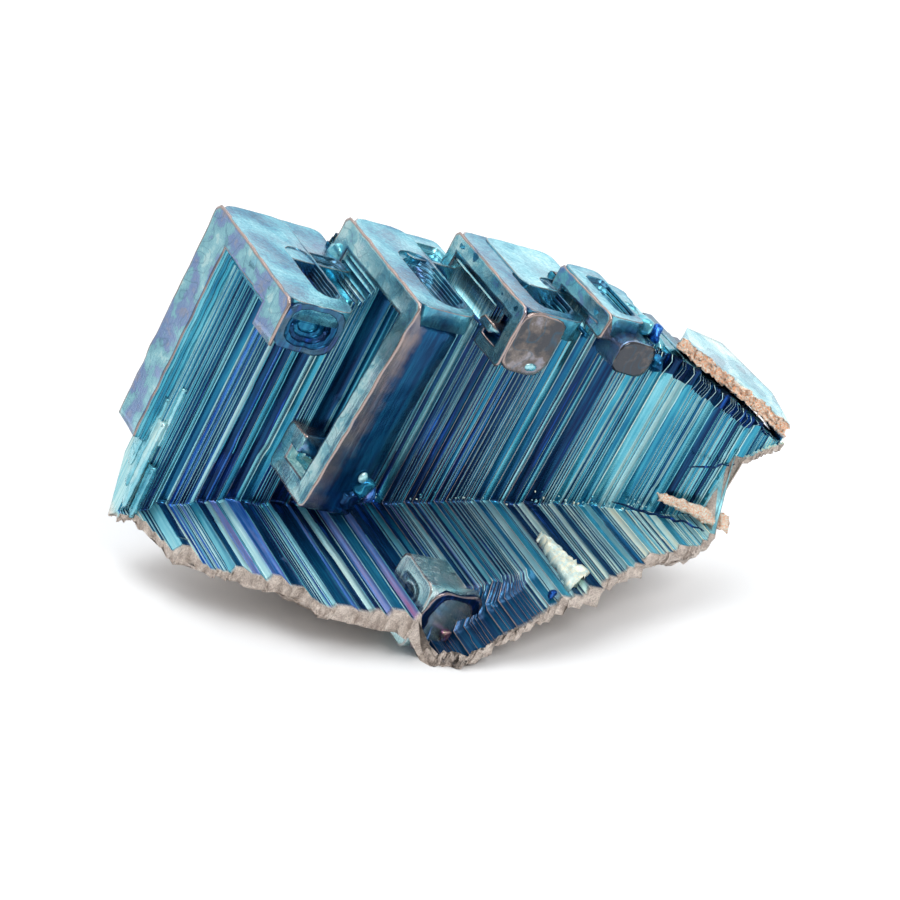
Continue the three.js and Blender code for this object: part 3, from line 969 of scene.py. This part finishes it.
def frame_four() -> list[Shell]:
    """Returns the fourth frame, the board behind it and the rounded block that hangs beyond."""
    bars = SquareFrame(
        corners=((4.6, 15.4), (9.4, 15.4), (9.6, 25.9), (6.9, 25.9), (6.9, 22.8)),
        widths=(1.6, 1.7, 1.5, 1.0), front=29.0, back=33.0,
        inside=((0, 29.4), (0.25, 30.0), (0.5, 30.8)), film=(0.60, 0.55, 0.66),
        crest=0.2, chamfer=0.35, seed=33)
    roof = SquareHollow(Facing.RISE, 9.62, (15.44, 29.06), (25.86, 33.4), 2.0,
                        (1.8, 1.2, 1.5, 0.3), (0.6, 0.5, 0.4, 0.1), (0.4, 0.35, 0.3),
                        radius=0.8, seed=34)
    board = SquareHollow(Facing.RISE, 8.7, (15.6, 31.6), (22.4, 36.6), 3.0,
                         (3.4, 0.6, 1.6, 0.5), (0.7, 0.5, 0.4, 0.4), (0.3, 0.25),
                         film=0.80, radius=0.9, wobble=0.25, seed=35)
    hanging = SquareHollow(Facing.REACH, 27.8, (4.8, 30.4), (8.3, 34.7), 5.4,
                           (0.8, 0.8, 0.8, 0.8), (0.3, 0.3, 0.3, 0.3), (), film=-0.08, skin=0.9,
                           side_film=0.44, worn=0.4, radius=1.1, crest=0.35, seed=36)
    return [bars.shell(), roof.shell(), board.shell(), hanging.shell()]


def seat_block() -> list[Shell]:
    """Returns the small block grown on the seat, with its swirl and its hollow, whose dark film is
    painted shade.
    """
    face = SquareHollow(Facing.RUN_BACK, 18.1, (-25.5, 28.6), (-18.2, 35.2), 5.8,
                        (1.5, 1.3, 1.4, 1.5), (0.9, 0.7, 0.8, 0.8), (0.15, 0.12), film=0.82,
                        skin=1.0, deep_skin=1.0, radius=1.0, crest=0.22, seed=43)
    # The hollow's dark film is painted shade.
    hollow = SquareHollow(Facing.REACH, 35.25, (-25.3, 18.5), (-18.4, 24.6), 3.6,
                          (1.0, 0.7, 0.9, 0.7), (0.3, 0.3, 0.3, 0.3), (0.9, 0.9, 1.0),
                          film=0.54, film_step=-0.01, skin=0.0, deep_skin=0.0, radius=1.3,
                          crest=0.24, wobble=0.25, seed=45)
    return [face.shell(), hollow.shell()]


# --------------------------------------------------------------------------------------------
# The end crystal and the broken base
# --------------------------------------------------------------------------------------------

@dataclass
class EndCrystal:
    """The thin tilted cap above the torn tops of the last steps, with its golden torn edge.

    Attributes:
        front_start: Left end of the upper front edge; front_end is its right end.
        depths: Share along that edge, and how far the top goes back there in reach and run.
        band: Height of the torn front band; band_rows is how many columns it has.
        top_film: Film of the top, which has top_rows columns; top_skin is how mottled it is.
        under_film: Film of the rear and the underside.
        below: Height of the rear.
        torn_rough: How far the torn band's points are moved; torn_grain is the coarsest wave.
    """

    front_start: tuple[float, float, float] = (9.9, 27.5, 36.9)
    front_end: tuple[float, float, float] = (6.8, 34.9, 48.3)
    depths: tuple = ((0, 2.9, 2.5), (0.35, 6.7, 4.7), (0.75, 3.4, 3.6), (1, 0.4, 0.3))
    band: float = 1.15
    band_rows: int = 9
    top_film: float = 0.86
    top_skin: float = 0.45
    top_rows: int = 12
    under_film: float = 0.55
    below: float = 2.6
    torn_rough: float = 0.34
    torn_grain: float = 0.9
    rows: int = 60
    seed: int = 51

    def shell(self) -> Shell:
        """Returns the cap as one closed shell.

        Each row is a loop: up the torn front band, back over the top face, down the rear and
        forward underneath. The loops follow the straight front edge.
        """
        share = np.linspace(0, 1, self.rows)
        front = np.array(self.front_start) + share[:, None] * (
            np.array(self.front_end) - np.array(self.front_start))
        places, back_reach, back_run = np.array(self.depths, float).T
        behind = np.stack([np.zeros(self.rows), -np.interp(share, places, back_reach),
                           np.interp(share, places, back_run)], 1)
        drop = np.array([1.0, 0, 0])
        band = [front - drop * self.band * (1 - t) for t in np.linspace(0, 1, self.band_rows)]
        top = [front + behind * t for t in np.linspace(0.06, 1, self.top_rows)]
        rear = [front + behind - drop * self.below * t for t in np.linspace(0.3, 1, 4)]
        under = [front + behind * t - drop * (self.below * t + self.band * (1 - t))
                 for t in np.linspace(0.7, 0.3, 3)]
        grid = np.stack(band + top + rear + under, axis=1)
        shape = grid.shape[:2]
        fresh = np.zeros(shape)
        fresh[:, :self.band_rows] = 1.0
        grid = roughen(grid, fresh * self.torn_rough, self.seed, self.torn_grain)
        in_front = np.arange(shape[1]) < self.band_rows + self.top_rows
        skin = np.where(in_front, self.top_skin, 0.0)
        film = np.where(in_front, self.top_film, self.under_film)
        return Shell(grid, np.broadcast_to(film, shape), {
            "fresh": fresh, "skin": np.broadcast_to(skin, shape)})


@dataclass
class Plate:
    """A thin broken plate with four corners.

    Attributes:
        corners: Four corners on the growth axes, in order round the plate.
        thick: Thickness along the growth axes, towards the metal behind.
        film: Film of the plate.
        marks: Its marks, each from 0 to 1.
        rough: How far its points are moved.
    """

    corners: tuple
    thick: tuple[float, float, float]
    film: float
    marks: dict[str, float]
    rough: float = 0.2
    rows: int = 26
    columns: int = 12
    seed: int = 71

    def shell(self) -> Shell:
        """Returns the plate: its face blends the four corners evenly, its back lies behind."""
        first, second, third, fourth = np.array(self.corners, float)
        u = np.linspace(0, 1, self.rows)[:, None, None]
        v = np.linspace(0, 1, self.columns)[None, :, None]
        face = (1 - u) * ((1 - v) * first + v * fourth) + u * ((1 - v) * second + v * third)
        back = face[:, ::-1] - np.array(self.thick)
        grid = np.concatenate([face, back], axis=1)
        grid = roughen(grid, np.full(grid.shape[:2], self.rough), self.seed, 1.5)
        return Shell(grid, np.full(grid.shape[:2], self.film), dict(self.marks))


@dataclass
class Seam:
    """A thin crack as painted shade: a narrow rough tube in the darkest film that follows a broken
    line.

    Attributes:
        path: Points on the growth axes.
        radius: Radius of the tube.
        stray: How far it strays from the broken line.
    """

    path: tuple
    radius: float = 0.12
    stray: float = 0.12
    rows: int = 50
    seed: int = 81

    def shell(self) -> Shell:
        """Returns the tube: circles set at even shares of the broken line."""
        points = np.array(self.path, float)
        share = np.linspace(0, len(points) - 1, self.rows)
        number = np.arange(len(points))
        line = np.stack([np.interp(share, number, points[:, axis]) for axis in range(3)], -1)
        line = line + self.stray * np.stack(
            [ripple(line, 1.7, self.seed + axis) for axis in range(3)], -1)
        turn = np.linspace(0, 2 * math.pi, 6, endpoint=False)
        ring = np.stack([np.cos(turn), 0.6 * np.sin(turn), 0.8 * np.sin(turn)], -1)
        size = self.radius * np.sin(np.linspace(0.15, math.pi - 0.15, self.rows)) ** 0.5
        grid = line[:, None] + ring * size[:, None, None]
        return Shell(grid, np.full(grid.shape[:2], PAINTED_SHADE_FILM))


@dataclass
class Lump:
    """A melted lump of metal: an egg shape, softly dented.

    Attributes:
        centre: Its middle on the growth axes.
        half: Its half sizes on the growth axes.
        film: Its film.
        marks: Its marks, each from 0 to 1.
    """

    centre: tuple[float, float, float]
    half: tuple[float, float, float]
    film: float
    marks: dict[str, float] = field(default_factory=dict)
    rows: int = 18
    columns: int = 24

    def shell(self) -> Shell:
        """Returns the lump."""
        tilt = np.linspace(0.05, np.pi - 0.05, self.rows)[:, None]
        turn = np.linspace(0, 2 * np.pi, self.columns, endpoint=False)[None]
        egg = np.stack([np.cos(tilt) * np.ones_like(turn), np.sin(tilt) * np.cos(turn),
                        np.sin(tilt) * np.sin(turn)], -1)
        grid = egg * np.array(self.half) + np.array(self.centre)
        grid = grid + 0.22 * min(self.half) * np.stack(
            [ripple(grid, 1.6, 90 + axis) for axis in range(3)], -1)
        return Shell(grid, np.full(grid.shape[:2], self.film), dict(self.marks))


def broken_plates() -> list[Shell]:
    """Returns the pearly wedge on the seat, the golden shard at the torn end and two cracks of
    painted shade.
    """
    pearl = Plate(((-12.4, 30.4, 30.5), (-12.0, 37.6, 32.2), (-13.0, 38.9, 29.9),
                   (-12.6, 30.4, 30.4)), (0.9, 0, 0), 1.02, {"skin": 0.1, "fresh": 0.14}, 0.22)
    gold = Plate(((-5.2, 31.0, 40.9), (-3.9, 35.6, 46.6), (-5.0, 37.0, 46.4), (-5.7, 31.7, 41.2)),
                 (0.25, 0.1, 0), 0.90, {"fresh": 0.85}, 0.26, seed=72)
    crack = Seam(((-8.3, 29.2, 38.0), (-7.6, 31.3, 40.1), (-6.8, 33.0, 42.3),
                  (-5.7, 36.4, 44.0)), 0.16)
    split = Seam(((-0.9, 33.0, 41.0), (-0.4, 33.2, 43.0), (0.8, 33.5, 45.8)), 0.12, seed=82)
    return [part.shell() for part in (pearl, gold, crack, split)]


def left_terraces() -> list[Shell]:
    """Returns the ragged terrace ends below the side bar: thin slabs that look back along run."""
    slabs = (
        ((-24.5, 3.2), (-27.6, 4.4), 0.75, 0.84), ((-19.5, 4.3), (-29.6, 5.3), 0.95, 0.80),
        ((-21.8, 5.3), (-31.6, 6.3), 1.05, 0.87), ((-26.5, 6.3), (-32.0, 7.2), 1.7, 0.80),
        ((-17.6, 5.4), (-24.0, 6.2), 1.55, 0.84),
    )
    shells = []
    for number, ((top, near), (foot, far), run, film) in enumerate(slabs):
        corners = ((top, near, run), (foot, near + 0.3, run + 0.1), (foot - 0.5, far, run + 0.1),
                   (top, far, run))
        shells.append(Plate(corners, (0, 0, -0.7), film, {"skin": 0.12}, 0.07,
                            seed=100 + number).shell())
    return shells


def melted_lumps() -> list[Shell]:
    """Returns the melted lumps: middle, half sizes and film of each.

    Three lie under the second frame's apex, four by the foot of its near bar, and four behind the
    fourth frame; the first by the near bar is pale, a painted highlight. The last three are painted
    highlights: glints on the third frame's lip, the small block and the seat.
    """
    lumps = (
        Lump((-1.0, 4.8, 11.4), (2.2, 1.3, 0.8), 0.80),
        Lump((-3.4, 5.4, 11.7), (1.5, 1.6, 1.0), 0.74),
        Lump((-4.6, 6.6, 12.4), (1.2, 1.3, 1.0), 0.68),
        # The first of these four is pale, a painted highlight.
        Lump((-15.4, 21.2, 15.1), (0.6, 0.3, 0.5), 0.90),
        Lump((-16.6, 21.0, 15.9), (1.3, 0.7, 0.9), 0.66),
        Lump((-18.2, 20.6, 15.2), (1.2, 0.8, 1.2), 0.55),
        Lump((-17.6, 20.4, 17.4), (1.0, 0.5, 0.6), 0.38),
        Lump((8.6, 23.6, 35.0), (0.9, 1.4, 0.7), 0.80),
        Lump((8.2, 24.8, 35.9), (1.3, 0.9, 0.6), 0.44),
        Lump((7.2, 25.6, 36.4), (1.2, 0.8, 0.9), 0.78),
        Lump((6.4, 26.8, 36.0), (0.9, 1.0, 0.7), 0.58),
        # Painted highlights: the pale, mauve and blue glints.
        Lump((1.2, 23.35, 25.2), (0.5, 0.25, 0.7), 0.86),
        Lump((-22.9, 35.3, 21.9), (0.7, 0.6, 0.6), 0.285),
        Lump((-14.4, 38.9, 28.2), (0.5, 0.5, 0.5), 0.44),
    )
    return [lump.shell() for lump in lumps]


@dataclass
class ValleyCrumbs:
    """Tiny bright crystals caught in the valley between wall and seat, and on the steps by it; their
    bright films are a painted highlight, the sparkle along the valley.

    Attributes:
        count: How many there are.
        start: Share along the valley line where they start.
        spread: How far they stray from it in rise and in reach.
        straying: Share of them that stray at all, on each of the two axes.
        size: Least and greatest half size.
        films: Least and greatest film; the pale ones are a painted highlight.
        worn: How worn they are.
    """

    count: int = 150
    start: float = 0.24
    spread: tuple[float, float] = (1.3, 1.0)
    straying: float = 0.6
    size: tuple[float, float] = (0.06, 0.18)
    films: tuple[float, float] = (0.74, 1.0)
    worn: float = 0.3
    seed: int = 171

    def shells(self, field_shape: SteppedField) -> list[Shell]:
        """Returns the crumbs: small eggs with few sides, more of them nearer the valley line."""
        rng = np.random.default_rng(self.seed)
        share = rng.uniform(self.start, 1.0, self.count)
        line = np.stack([field_shape.valley(share, axis) for axis in range(3)], -1)
        away = rng.random((self.count, 2)) ** 3 * np.array(self.spread)
        half = rng.uniform(*self.size, (self.count, 3))
        films = rng.uniform(*self.films, self.count)
        line[:, :2] += away * (rng.random((self.count, 2)) < self.straying)
        return [Lump(tuple(place), tuple(sizes), film, {"wear": self.worn}, 4, 5).shell()
                for place, sizes, film in zip(line, half, films)]


@dataclass
class BrokenBase:
    """The broken lump of metal under the seat, cut off flat where the crystal rests.

    Attributes:
        centre: Its middle in the resting frame, in millimetres; half is its half sizes.
        film: Its film, all but hidden under the broken metal's own colour.
        dents: How far its points are moved and the coarsest wave, for two layers of roughness.
    """

    centre: tuple[float, float, float] = (-3.5, -1.2, 0.6)
    half: tuple[float, float, float] = (11.5, 9.2, 5.2)
    film: float = 0.1
    dents: tuple = ((0.9, 4.0), (0.35, 1.3))
    rows: int = 60
    columns: int = 96
    seed: int = 61

    def shell(self) -> Shell:
        """Returns the lump: an egg shape, roughened, with all that would be below zero cut flat."""
        tilt = np.linspace(0.02, np.pi - 0.02, self.rows)[:, None]
        turn = np.linspace(0, 2 * np.pi, self.columns, endpoint=False)[None]
        egg = np.stack([np.sin(tilt) * np.cos(turn), np.sin(tilt) * np.sin(turn),
                        np.cos(tilt) * np.ones_like(turn)], -1)
        place = egg * np.array(self.half) + np.array(self.centre)
        for layer, (amount, coarse) in enumerate(self.dents):
            place = roughen(place, np.full(place.shape[:2], amount), self.seed + 3 * layer, coarse)
        place[..., 2] = np.maximum(place[..., 2], 0.0)
        grid = AXES.find(place * MM)
        return Shell(grid, np.full(grid.shape[:2], self.film), {"broken": 1.0})


# --------------------------------------------------------------------------------------------
# Finishes
# --------------------------------------------------------------------------------------------

@dataclass(frozen=True)
class OxideFinish:
    """Bismuth under its clear oxide film, with worn crests, torn metal and fresh fracture.

    Attributes:
        film_colours: Film value and linear colour, thin film first.
        skin_colours: The mottled colours of frames and roofs, dull ones first.
        worn: Two colours of metal where the film is rubbed off.
        torn: Two colours of the broken base metal.
        fresh: Two colours of the golden fracture.
        roughness: Roughness of the film.
        metallic: How metallic the film is.
        milky: How much of that the palest films and bare metal lose.
        stain: How far the film of frames and roofs varies in patches.
        pooled: How much the film steps from one contour of those patches to the next.
        contour: Strength of the fine dark lines that ring the patches.
        contour_gap: Spacing of those lines; contour_width is their width.
        contour_colour: Their colour.
        coat: Weight of the glassy film's own gloss.
        coat_roughness: Roughness of that gloss.
    """

    film_colours: tuple = (
        (0.00, (0.20, 0.16, 0.14)), (0.10, (0.50, 0.42, 0.39)), (0.20, (0.45, 0.40, 0.28)),
        (0.27, (0.34, 0.10, 0.24)), (0.34, (0.24, 0.30, 0.62)), (0.40, (0.05, 0.21, 0.60)),
        (0.45, (0.006, 0.08, 0.38)), (0.50, (0.002, 0.014, 0.06)), (0.57, (0.003, 0.06, 0.16)),
        (0.64, (0.010, 0.16, 0.30)), (0.72, (0.05, 0.35, 0.48)), (0.81, (0.21, 0.58, 0.68)),
        (0.90, (0.50, 0.80, 0.82)), (0.98, (0.74, 0.93, 0.84)), (1.06, (0.92, 0.95, 0.74)))
    skin_colours: tuple = (
        (0.08, (0.05, 0.06, 0.075)), (0.19, (0.15, 0.13, 0.12)), (0.27, (0.30, 0.29, 0.33)),
        (0.40, (0.25, 0.31, 0.45)), (0.44, (0.19, 0.28, 0.50)), (0.53, (0.20, 0.33, 0.50)),
        (0.56, (0.20, 0.44, 0.52)), (0.68, (0.28, 0.56, 0.62)), (0.71, (0.42, 0.66, 0.68)),
        (0.82, (0.50, 0.72, 0.74)), (0.95, (0.74, 0.82, 0.83)))
    worn: tuple = ((0.20, 0.16, 0.15), (0.44, 0.34, 0.31))
    torn: tuple = ((0.38, 0.295, 0.25), (0.88, 0.77, 0.68))
    fresh: tuple = ((0.98, 0.42, 0.18), (1.0, 0.96, 0.84))
    roughness: float = 0.2
    milky: float = 0.68
    stain: float = 0.34
    pooled: float = 0.9
    contour: float = 0.42
    contour_gap: float = 0.055
    contour_width: float = 0.009
    contour_colour: tuple[float, float, float] = (0.02, 0.12, 0.20)
    metallic: float = 0.82
    coat: float = 0.06
    coat_roughness: float = 0.12

    def material(self) -> bpy.types.Material:
        """Returns the finish as a node material that reads the pieces' attributes."""
        built = Nodes.new("bismuth_oxide")
        place = built.growth_coordinates()
        wide = built.noise(place, 0.12, 3, 0.55, (1, 1, 1))
        island = built.noise(place, 0.42, 6, 0.60, (1, 1, 1))
        fine = built.noise(place, 6.0, 4, 0.6, (1, 1, 1))
        along_wall = built.noise(place, 2.6, 3, 0.6, (0.03, 1, 1))
        along_seat = built.noise(place, 2.6, 3, 0.6, (1, 0.03, 1))
        streak = built.blend(built.attribute("seat"), along_wall, along_seat)
        film = built.attribute("film")
        shifted = built.math("ADD", film, built.spread(wide, 0.5, 0.09))
        shifted = built.math("ADD", shifted, built.spread(streak, 0.5, 0.13))
        mottle = built.math("ADD", built.spread(island, 0.5, 0.55), built.spread(film, 0.0, 0.4))
        mottle = built.math("ADD", mottle, 0.14)
        skin = built.attribute("skin")
        pool = built.noise(place, 0.24, 1, 0.3, (1, 1, 1))
        flat = built.math("SNAP", pool, 2 * self.contour_gap)
        stain = built.math("ADD", built.spread(island, 0.5, self.stain),
                           built.spread(flat, 0.5, self.pooled))
        stain = built.math("MULTIPLY", stain, skin)
        colour = built.ramp(built.math("ADD", shifted, stain), self.film_colours)
        colour = built.mix(skin, colour, built.ramp(mottle, self.skin_colours))
        level = built.math("PINGPONG", pool, self.contour_gap)
        line = built.math("SUBTRACT", 1.0, built.stretch(level, 0.0, self.contour_width))
        line = built.math("MULTIPLY", line, built.stretch(skin, 0.0, 0.5))
        line = built.math("MULTIPLY", line, self.contour)
        colour = built.mix(line, colour, self.contour_colour)
        wear = built.attribute("wear")
        patchy = built.stretch(built.math("ADD", wear, built.spread(island, 0.5, 0.5)), 0.45, 0.95)
        metal = built.ramp(built.math("MULTIPLY", wear, wear), ((0.2, self.worn[0]),
                                                                (0.9, self.worn[1])))
        colour = built.mix(patchy, colour, metal)
        broken = built.attribute("broken")
        crumb = built.blend(0.5, fine, built.noise(place, 0.9, 4, 0.65, (1, 1, 1)))
        colour = built.mix(broken, colour, built.ramp(crumb, ((0.38, self.torn[0]),
                                                              (0.60, self.torn[1]))))
        fresh = built.attribute("fresh")
        colour = built.mix(fresh, colour, built.ramp(fine, ((0.38, self.fresh[0]),
                                                            (0.62, self.fresh[1]))))
        bare = built.math("ADD", broken, fresh)
        rough = built.math("ADD", built.spread(fine, 0.5, 0.16), self.roughness)
        rough = built.math("ADD", rough, built.math("MULTIPLY", bare, 0.2))
        grain = built.math("ADD", 0.010, built.math("MULTIPLY", bare, 0.20))
        height = built.math("MULTIPLY", fine, grain)
        height = built.math("ADD", height, built.math("MULTIPLY", streak, 0.03))
        pale = built.stretch(shifted, 0.84, 0.96)
        pale = built.math("MAXIMUM", pale, built.math("MULTIPLY", built.attribute("seat"), 0.45))
        pale = built.math("MAXIMUM", pale, bare)
        metallic = built.math("SUBTRACT", self.metallic, built.math("MULTIPLY", pale, self.milky))
        built.set(built.shader.inputs["Metallic"], metallic)
        built.shader.inputs["Coat Weight"].default_value = self.coat
        built.shader.inputs["Coat Roughness"].default_value = self.coat_roughness
        return built.finish(colour, rough, height)


class Nodes:
    """Builds one node material step by step."""

    def __init__(self, material: bpy.types.Material) -> None:
        """Clears the material's tree and adds its shader and output."""
        self.material = material
        self.tree = material.node_tree
        self.tree.nodes.clear()
        self.shader = self.add("ShaderNodeBsdfPrincipled")
        output = self.add("ShaderNodeOutputMaterial")
        self.tree.links.new(self.shader.outputs["BSDF"], output.inputs["Surface"])

    @classmethod
    def new(cls, name: str) -> "Nodes":
        """Returns a builder for a new material."""
        material = bpy.data.materials.new(name)
        material.use_nodes = True
        return cls(material)

    def add(self, kind: str) -> bpy.types.Node:
        """Adds a node of a kind."""
        return self.tree.nodes.new(kind)

    def set(self, socket: bpy.types.NodeSocket, value: object) -> None:
        """Links a socket's source, or sets its number or colour."""
        if isinstance(value, bpy.types.NodeSocket):
            self.tree.links.new(value, socket)
        elif isinstance(value, tuple) and len(value) == 3 and socket.type == "RGBA":
            socket.default_value = (*value, 1.0)
        else:
            socket.default_value = value

    def growth_coordinates(self) -> bpy.types.NodeSocket:
        """Returns Object coordinates turned onto the growth axes, one unit to a millimetre."""
        source = self.add("ShaderNodeTexCoord")
        mapping = self.add("ShaderNodeMapping")
        turned = Matrix(AXES.turning().T.tolist()).to_euler("XYZ")
        mapping.inputs["Rotation"].default_value = turned
        mapping.inputs["Scale"].default_value = (1 / MM, 1 / MM, 1 / MM)
        self.set(mapping.inputs["Vector"], source.outputs["Object"])
        return mapping.outputs["Vector"]

    def noise(self, place: bpy.types.NodeSocket, scale: float, detail: float, rough: float,
              stretch: tuple[float, float, float]) -> bpy.types.NodeSocket:
        """Returns a noise pattern.

        Args:
            place: Coordinates in millimetres.
            scale: Features per millimetre.
            detail: Octaves.
            rough: Strength of each finer octave.
            stretch: Scale along rise, reach and run.

        Returns:
            The pattern's value from 0 to 1.
        """
        mapping = self.add("ShaderNodeMapping")
        mapping.inputs["Scale"].default_value = stretch
        self.set(mapping.inputs["Vector"], place)
        noise = self.add("ShaderNodeTexNoise")
        noise.inputs["Scale"].default_value = scale
        noise.inputs["Detail"].default_value = detail
        noise.inputs["Roughness"].default_value = rough
        self.set(noise.inputs["Vector"], mapping.outputs["Vector"])
        return noise.outputs["Fac"]

    def attribute(self, name: str) -> bpy.types.NodeSocket:
        """Returns a mesh attribute's value."""
        node = self.add("ShaderNodeAttribute")
        node.attribute_name = name
        return node.outputs["Fac"]

    def math(self, operation: str, first: object, second: object) -> bpy.types.NodeSocket:
        """Returns a sum, product or other result of two values."""
        node = self.add("ShaderNodeMath")
        node.operation = operation
        self.set(node.inputs[0], first)
        self.set(node.inputs[1], second)
        return node.outputs[0]

    def spread(self, value: object, middle: float, amount: float) -> bpy.types.NodeSocket:
        """Returns (value - middle) times twice the amount."""
        return self.math("MULTIPLY", self.math("SUBTRACT", value, middle), 2 * amount)

    def stretch(self, value: object, low: float, high: float) -> bpy.types.NodeSocket:
        """Returns the value stretched so that low gives 0 and high gives 1, kept in between."""
        node = self.add("ShaderNodeMapRange")
        node.inputs["From Min"].default_value = low
        node.inputs["From Max"].default_value = high
        self.set(node.inputs["Value"], value)
        return node.outputs["Result"]

    def ramp(self, value: object, stops: tuple) -> bpy.types.NodeSocket:
        """Returns a colour read from stops of position and colour."""
        node = self.add("ShaderNodeValToRGB")
        elements = node.color_ramp.elements
        for number, (position, colour) in enumerate(stops):
            element = elements[number] if number < 2 else elements.new(position)
            element.position = position
            element.color = (*colour, 1.0)
        self.set(node.inputs["Fac"], value)
        return node.outputs["Color"]

    def mix(self, share: object, first: object, second: object) -> bpy.types.NodeSocket:
        """Returns two colours mixed by a share."""
        node = self.add("ShaderNodeMix")
        node.data_type = "RGBA"
        self.set(node.inputs["Factor"], share)
        self.set(node.inputs[6], first)
        self.set(node.inputs[7], second)
        return node.outputs[2]

    def blend(self, share: object, first: object, second: object) -> bpy.types.NodeSocket:
        """Returns two numbers mixed by a share."""
        node = self.add("ShaderNodeMix")
        for number, value in enumerate((share, first, second)):
            self.set(node.inputs[(0, 2, 3)[number]], value)
        return node.outputs[0]

    def finish(self, colour: object, rough: object, height: object) -> bpy.types.Material:
        """Plugs colour, roughness and relief into the metal shader and returns the material."""
        self.set(self.shader.inputs["Base Color"], colour)
        self.set(self.shader.inputs["Roughness"], rough)
        bump = self.add("ShaderNodeBump")
        bump.inputs["Strength"].default_value = 1.0
        bump.inputs["Distance"].default_value = MM
        self.set(bump.inputs["Height"], height)
        self.set(self.shader.inputs["Normal"], bump.outputs["Normal"])
        return self.material


# --------------------------------------------------------------------------------------------
# Crystal and studio
# --------------------------------------------------------------------------------------------

@dataclass
class Crystal:
    """The whole crystal: its parts as mesh pieces in one finish."""

    finish: OxideFinish = field(default_factory=OxideFinish)

    def build(self) -> list[bpy.types.Object]:
        """Builds, dresses and mounts every part, and returns the pieces."""
        material = self.finish.material()
        parts = {
            "stepped_field": [SteppedField().shell()],
            "outer_frame": frame_one(),
            "spiral_frame": frame_two(),
            "short_frame": frame_three(),
            "narrow_frame": frame_four(),
            "seat_block": seat_block(),
            "end_crystal": [EndCrystal().shell()],
            "broken_plates": broken_plates(),
            "left_terraces": left_terraces(),
            "melted_lumps": melted_lumps(),
            "valley_crumbs": ValleyCrumbs().shells(SteppedField()),
            "broken_base": [BrokenBase().shell()],
        }
        pieces = []
        for name, shells in parts.items():
            piece = shells_to_object(name, shells)
            piece.data.materials.append(material)
            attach(piece, BODY)
            pieces.append(piece)
            LOG.info("%s: %d faces", name, len(piece.data.polygons))
        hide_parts(NODE)
        return pieces


@dataclass
class Studio:
    """A plain pale floor, soft light from above, the front right and behind, and the camera.

    Attributes:
        surround: Two values of a direction's Y, from the front to the rear, and the strength of
            the white surround at each.
    """

    lens_mm: float = 104.0
    distance_mm: float = 260.0
    elevation_deg: float = 24.0
    aim_height_mm: float = 14.15
    floor_half: float = 3.0
    surround: tuple[float, float, float, float] = (-1.0, 0.6, 0.42, 1.0)

    def build(self) -> None:
        """Builds floor, lights, world and camera."""
        self.floor()
        self.world()
        self.softbox("overhead", (-0.15, 0.05, 0.85), 0.8, 3.4)
        self.softbox("front", (0.36, -0.50, 0.60), 0.35, 2.6)
        self.softbox("rear", (0.25, 1.1, 0.35), 1.0, 1.2)
        self.camera()

    def floor(self) -> None:
        """Lays the pale floor."""
        mesh = bpy.data.meshes.new("floor")
        half = self.floor_half
        mesh.from_pydata([(-half, -half, 0), (half, -half, 0), (half, half, 0), (-half, half, 0)],
                         [], [(0, 1, 2, 3)])
        floor = bpy.data.objects.new("floor", mesh)
        bpy.context.scene.collection.objects.link(floor)
        built = Nodes.new("pale_floor")
        built.shader.inputs["Base Color"].default_value = (0.92, 0.93, 0.94, 1)
        built.shader.inputs["Roughness"].default_value = 0.6
        mesh.materials.append(built.material)

    def world(self) -> None:
        """Sets a white surround whose strength changes evenly from the front to the rear."""
        world = bpy.data.worlds.new("surround")
        bpy.context.scene.world = world
        world.use_nodes = True
        tree = world.node_tree
        ground = tree.nodes["Background"]
        place = tree.nodes.new("ShaderNodeTexCoord")
        split = tree.nodes.new("ShaderNodeSeparateXYZ")
        tone = tree.nodes.new("ShaderNodeMapRange")
        for socket, value in zip(("From Min", "From Max", "To Min", "To Max"), self.surround):
            tone.inputs[socket].default_value = value
        tree.links.new(place.outputs["Generated"], split.inputs["Vector"])
        tree.links.new(split.outputs["Y"], tone.inputs["Value"])
        tree.links.new(tone.outputs["Result"], ground.inputs["Strength"])
        ground.inputs["Color"].default_value = (0.97, 0.985, 1.0, 1.0)

    def softbox(self, name: str, place: tuple[float, float, float], size: float,
                power: float) -> None:
        """Hangs a square soft light that faces the crystal.

        Args:
            name: The light's name.
            place: Where it hangs, in metres.
            size: Side length in metres.
            power: Power in watts.
        """
        light = bpy.data.lights.new(name, "AREA")
        light.size = size
        light.energy = power
        lamp = bpy.data.objects.new(name, light)
        lamp.matrix_world = aimed(place, (0, 0, self.aim_height_mm * MM))
        bpy.context.scene.collection.objects.link(lamp)

    def camera(self) -> None:
        """Sets the camera at the viewing height and distance."""
        lens = bpy.data.cameras.new("camera")
        lens.lens = self.lens_mm
        lens.sensor_width = 36.0
        lens.clip_start = 0.01
        camera = bpy.data.objects.new("camera", lens)
        tilt = math.radians(self.elevation_deg)
        away = self.distance_mm * MM
        height = self.aim_height_mm * MM
        place = (0.0, -away * math.cos(tilt), height + away * math.sin(tilt))
        camera.matrix_world = aimed(place, (0, 0, height))
        bpy.context.scene.collection.objects.link(camera)
        bpy.context.scene.camera = camera


def aimed(place: tuple, target: tuple) -> Matrix:
    """Returns the placing of a lamp or camera that looks from one place at another."""
    way = Vector(target) - Vector(place)
    turned = way.to_track_quat("-Z", "Y").to_matrix().to_4x4()
    return Matrix.Translation(place) @ turned


def main() -> None:
    """Builds the studio and the crystal."""
    logging.basicConfig(level=logging.INFO, format="%(name)s: %(message)s")
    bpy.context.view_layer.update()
    Studio().build()
    Crystal().build()
    bpy.context.scene.view_settings.view_transform = "Standard"
    bpy.context.view_layer.update()


if __name__ == "__main__":
    main()
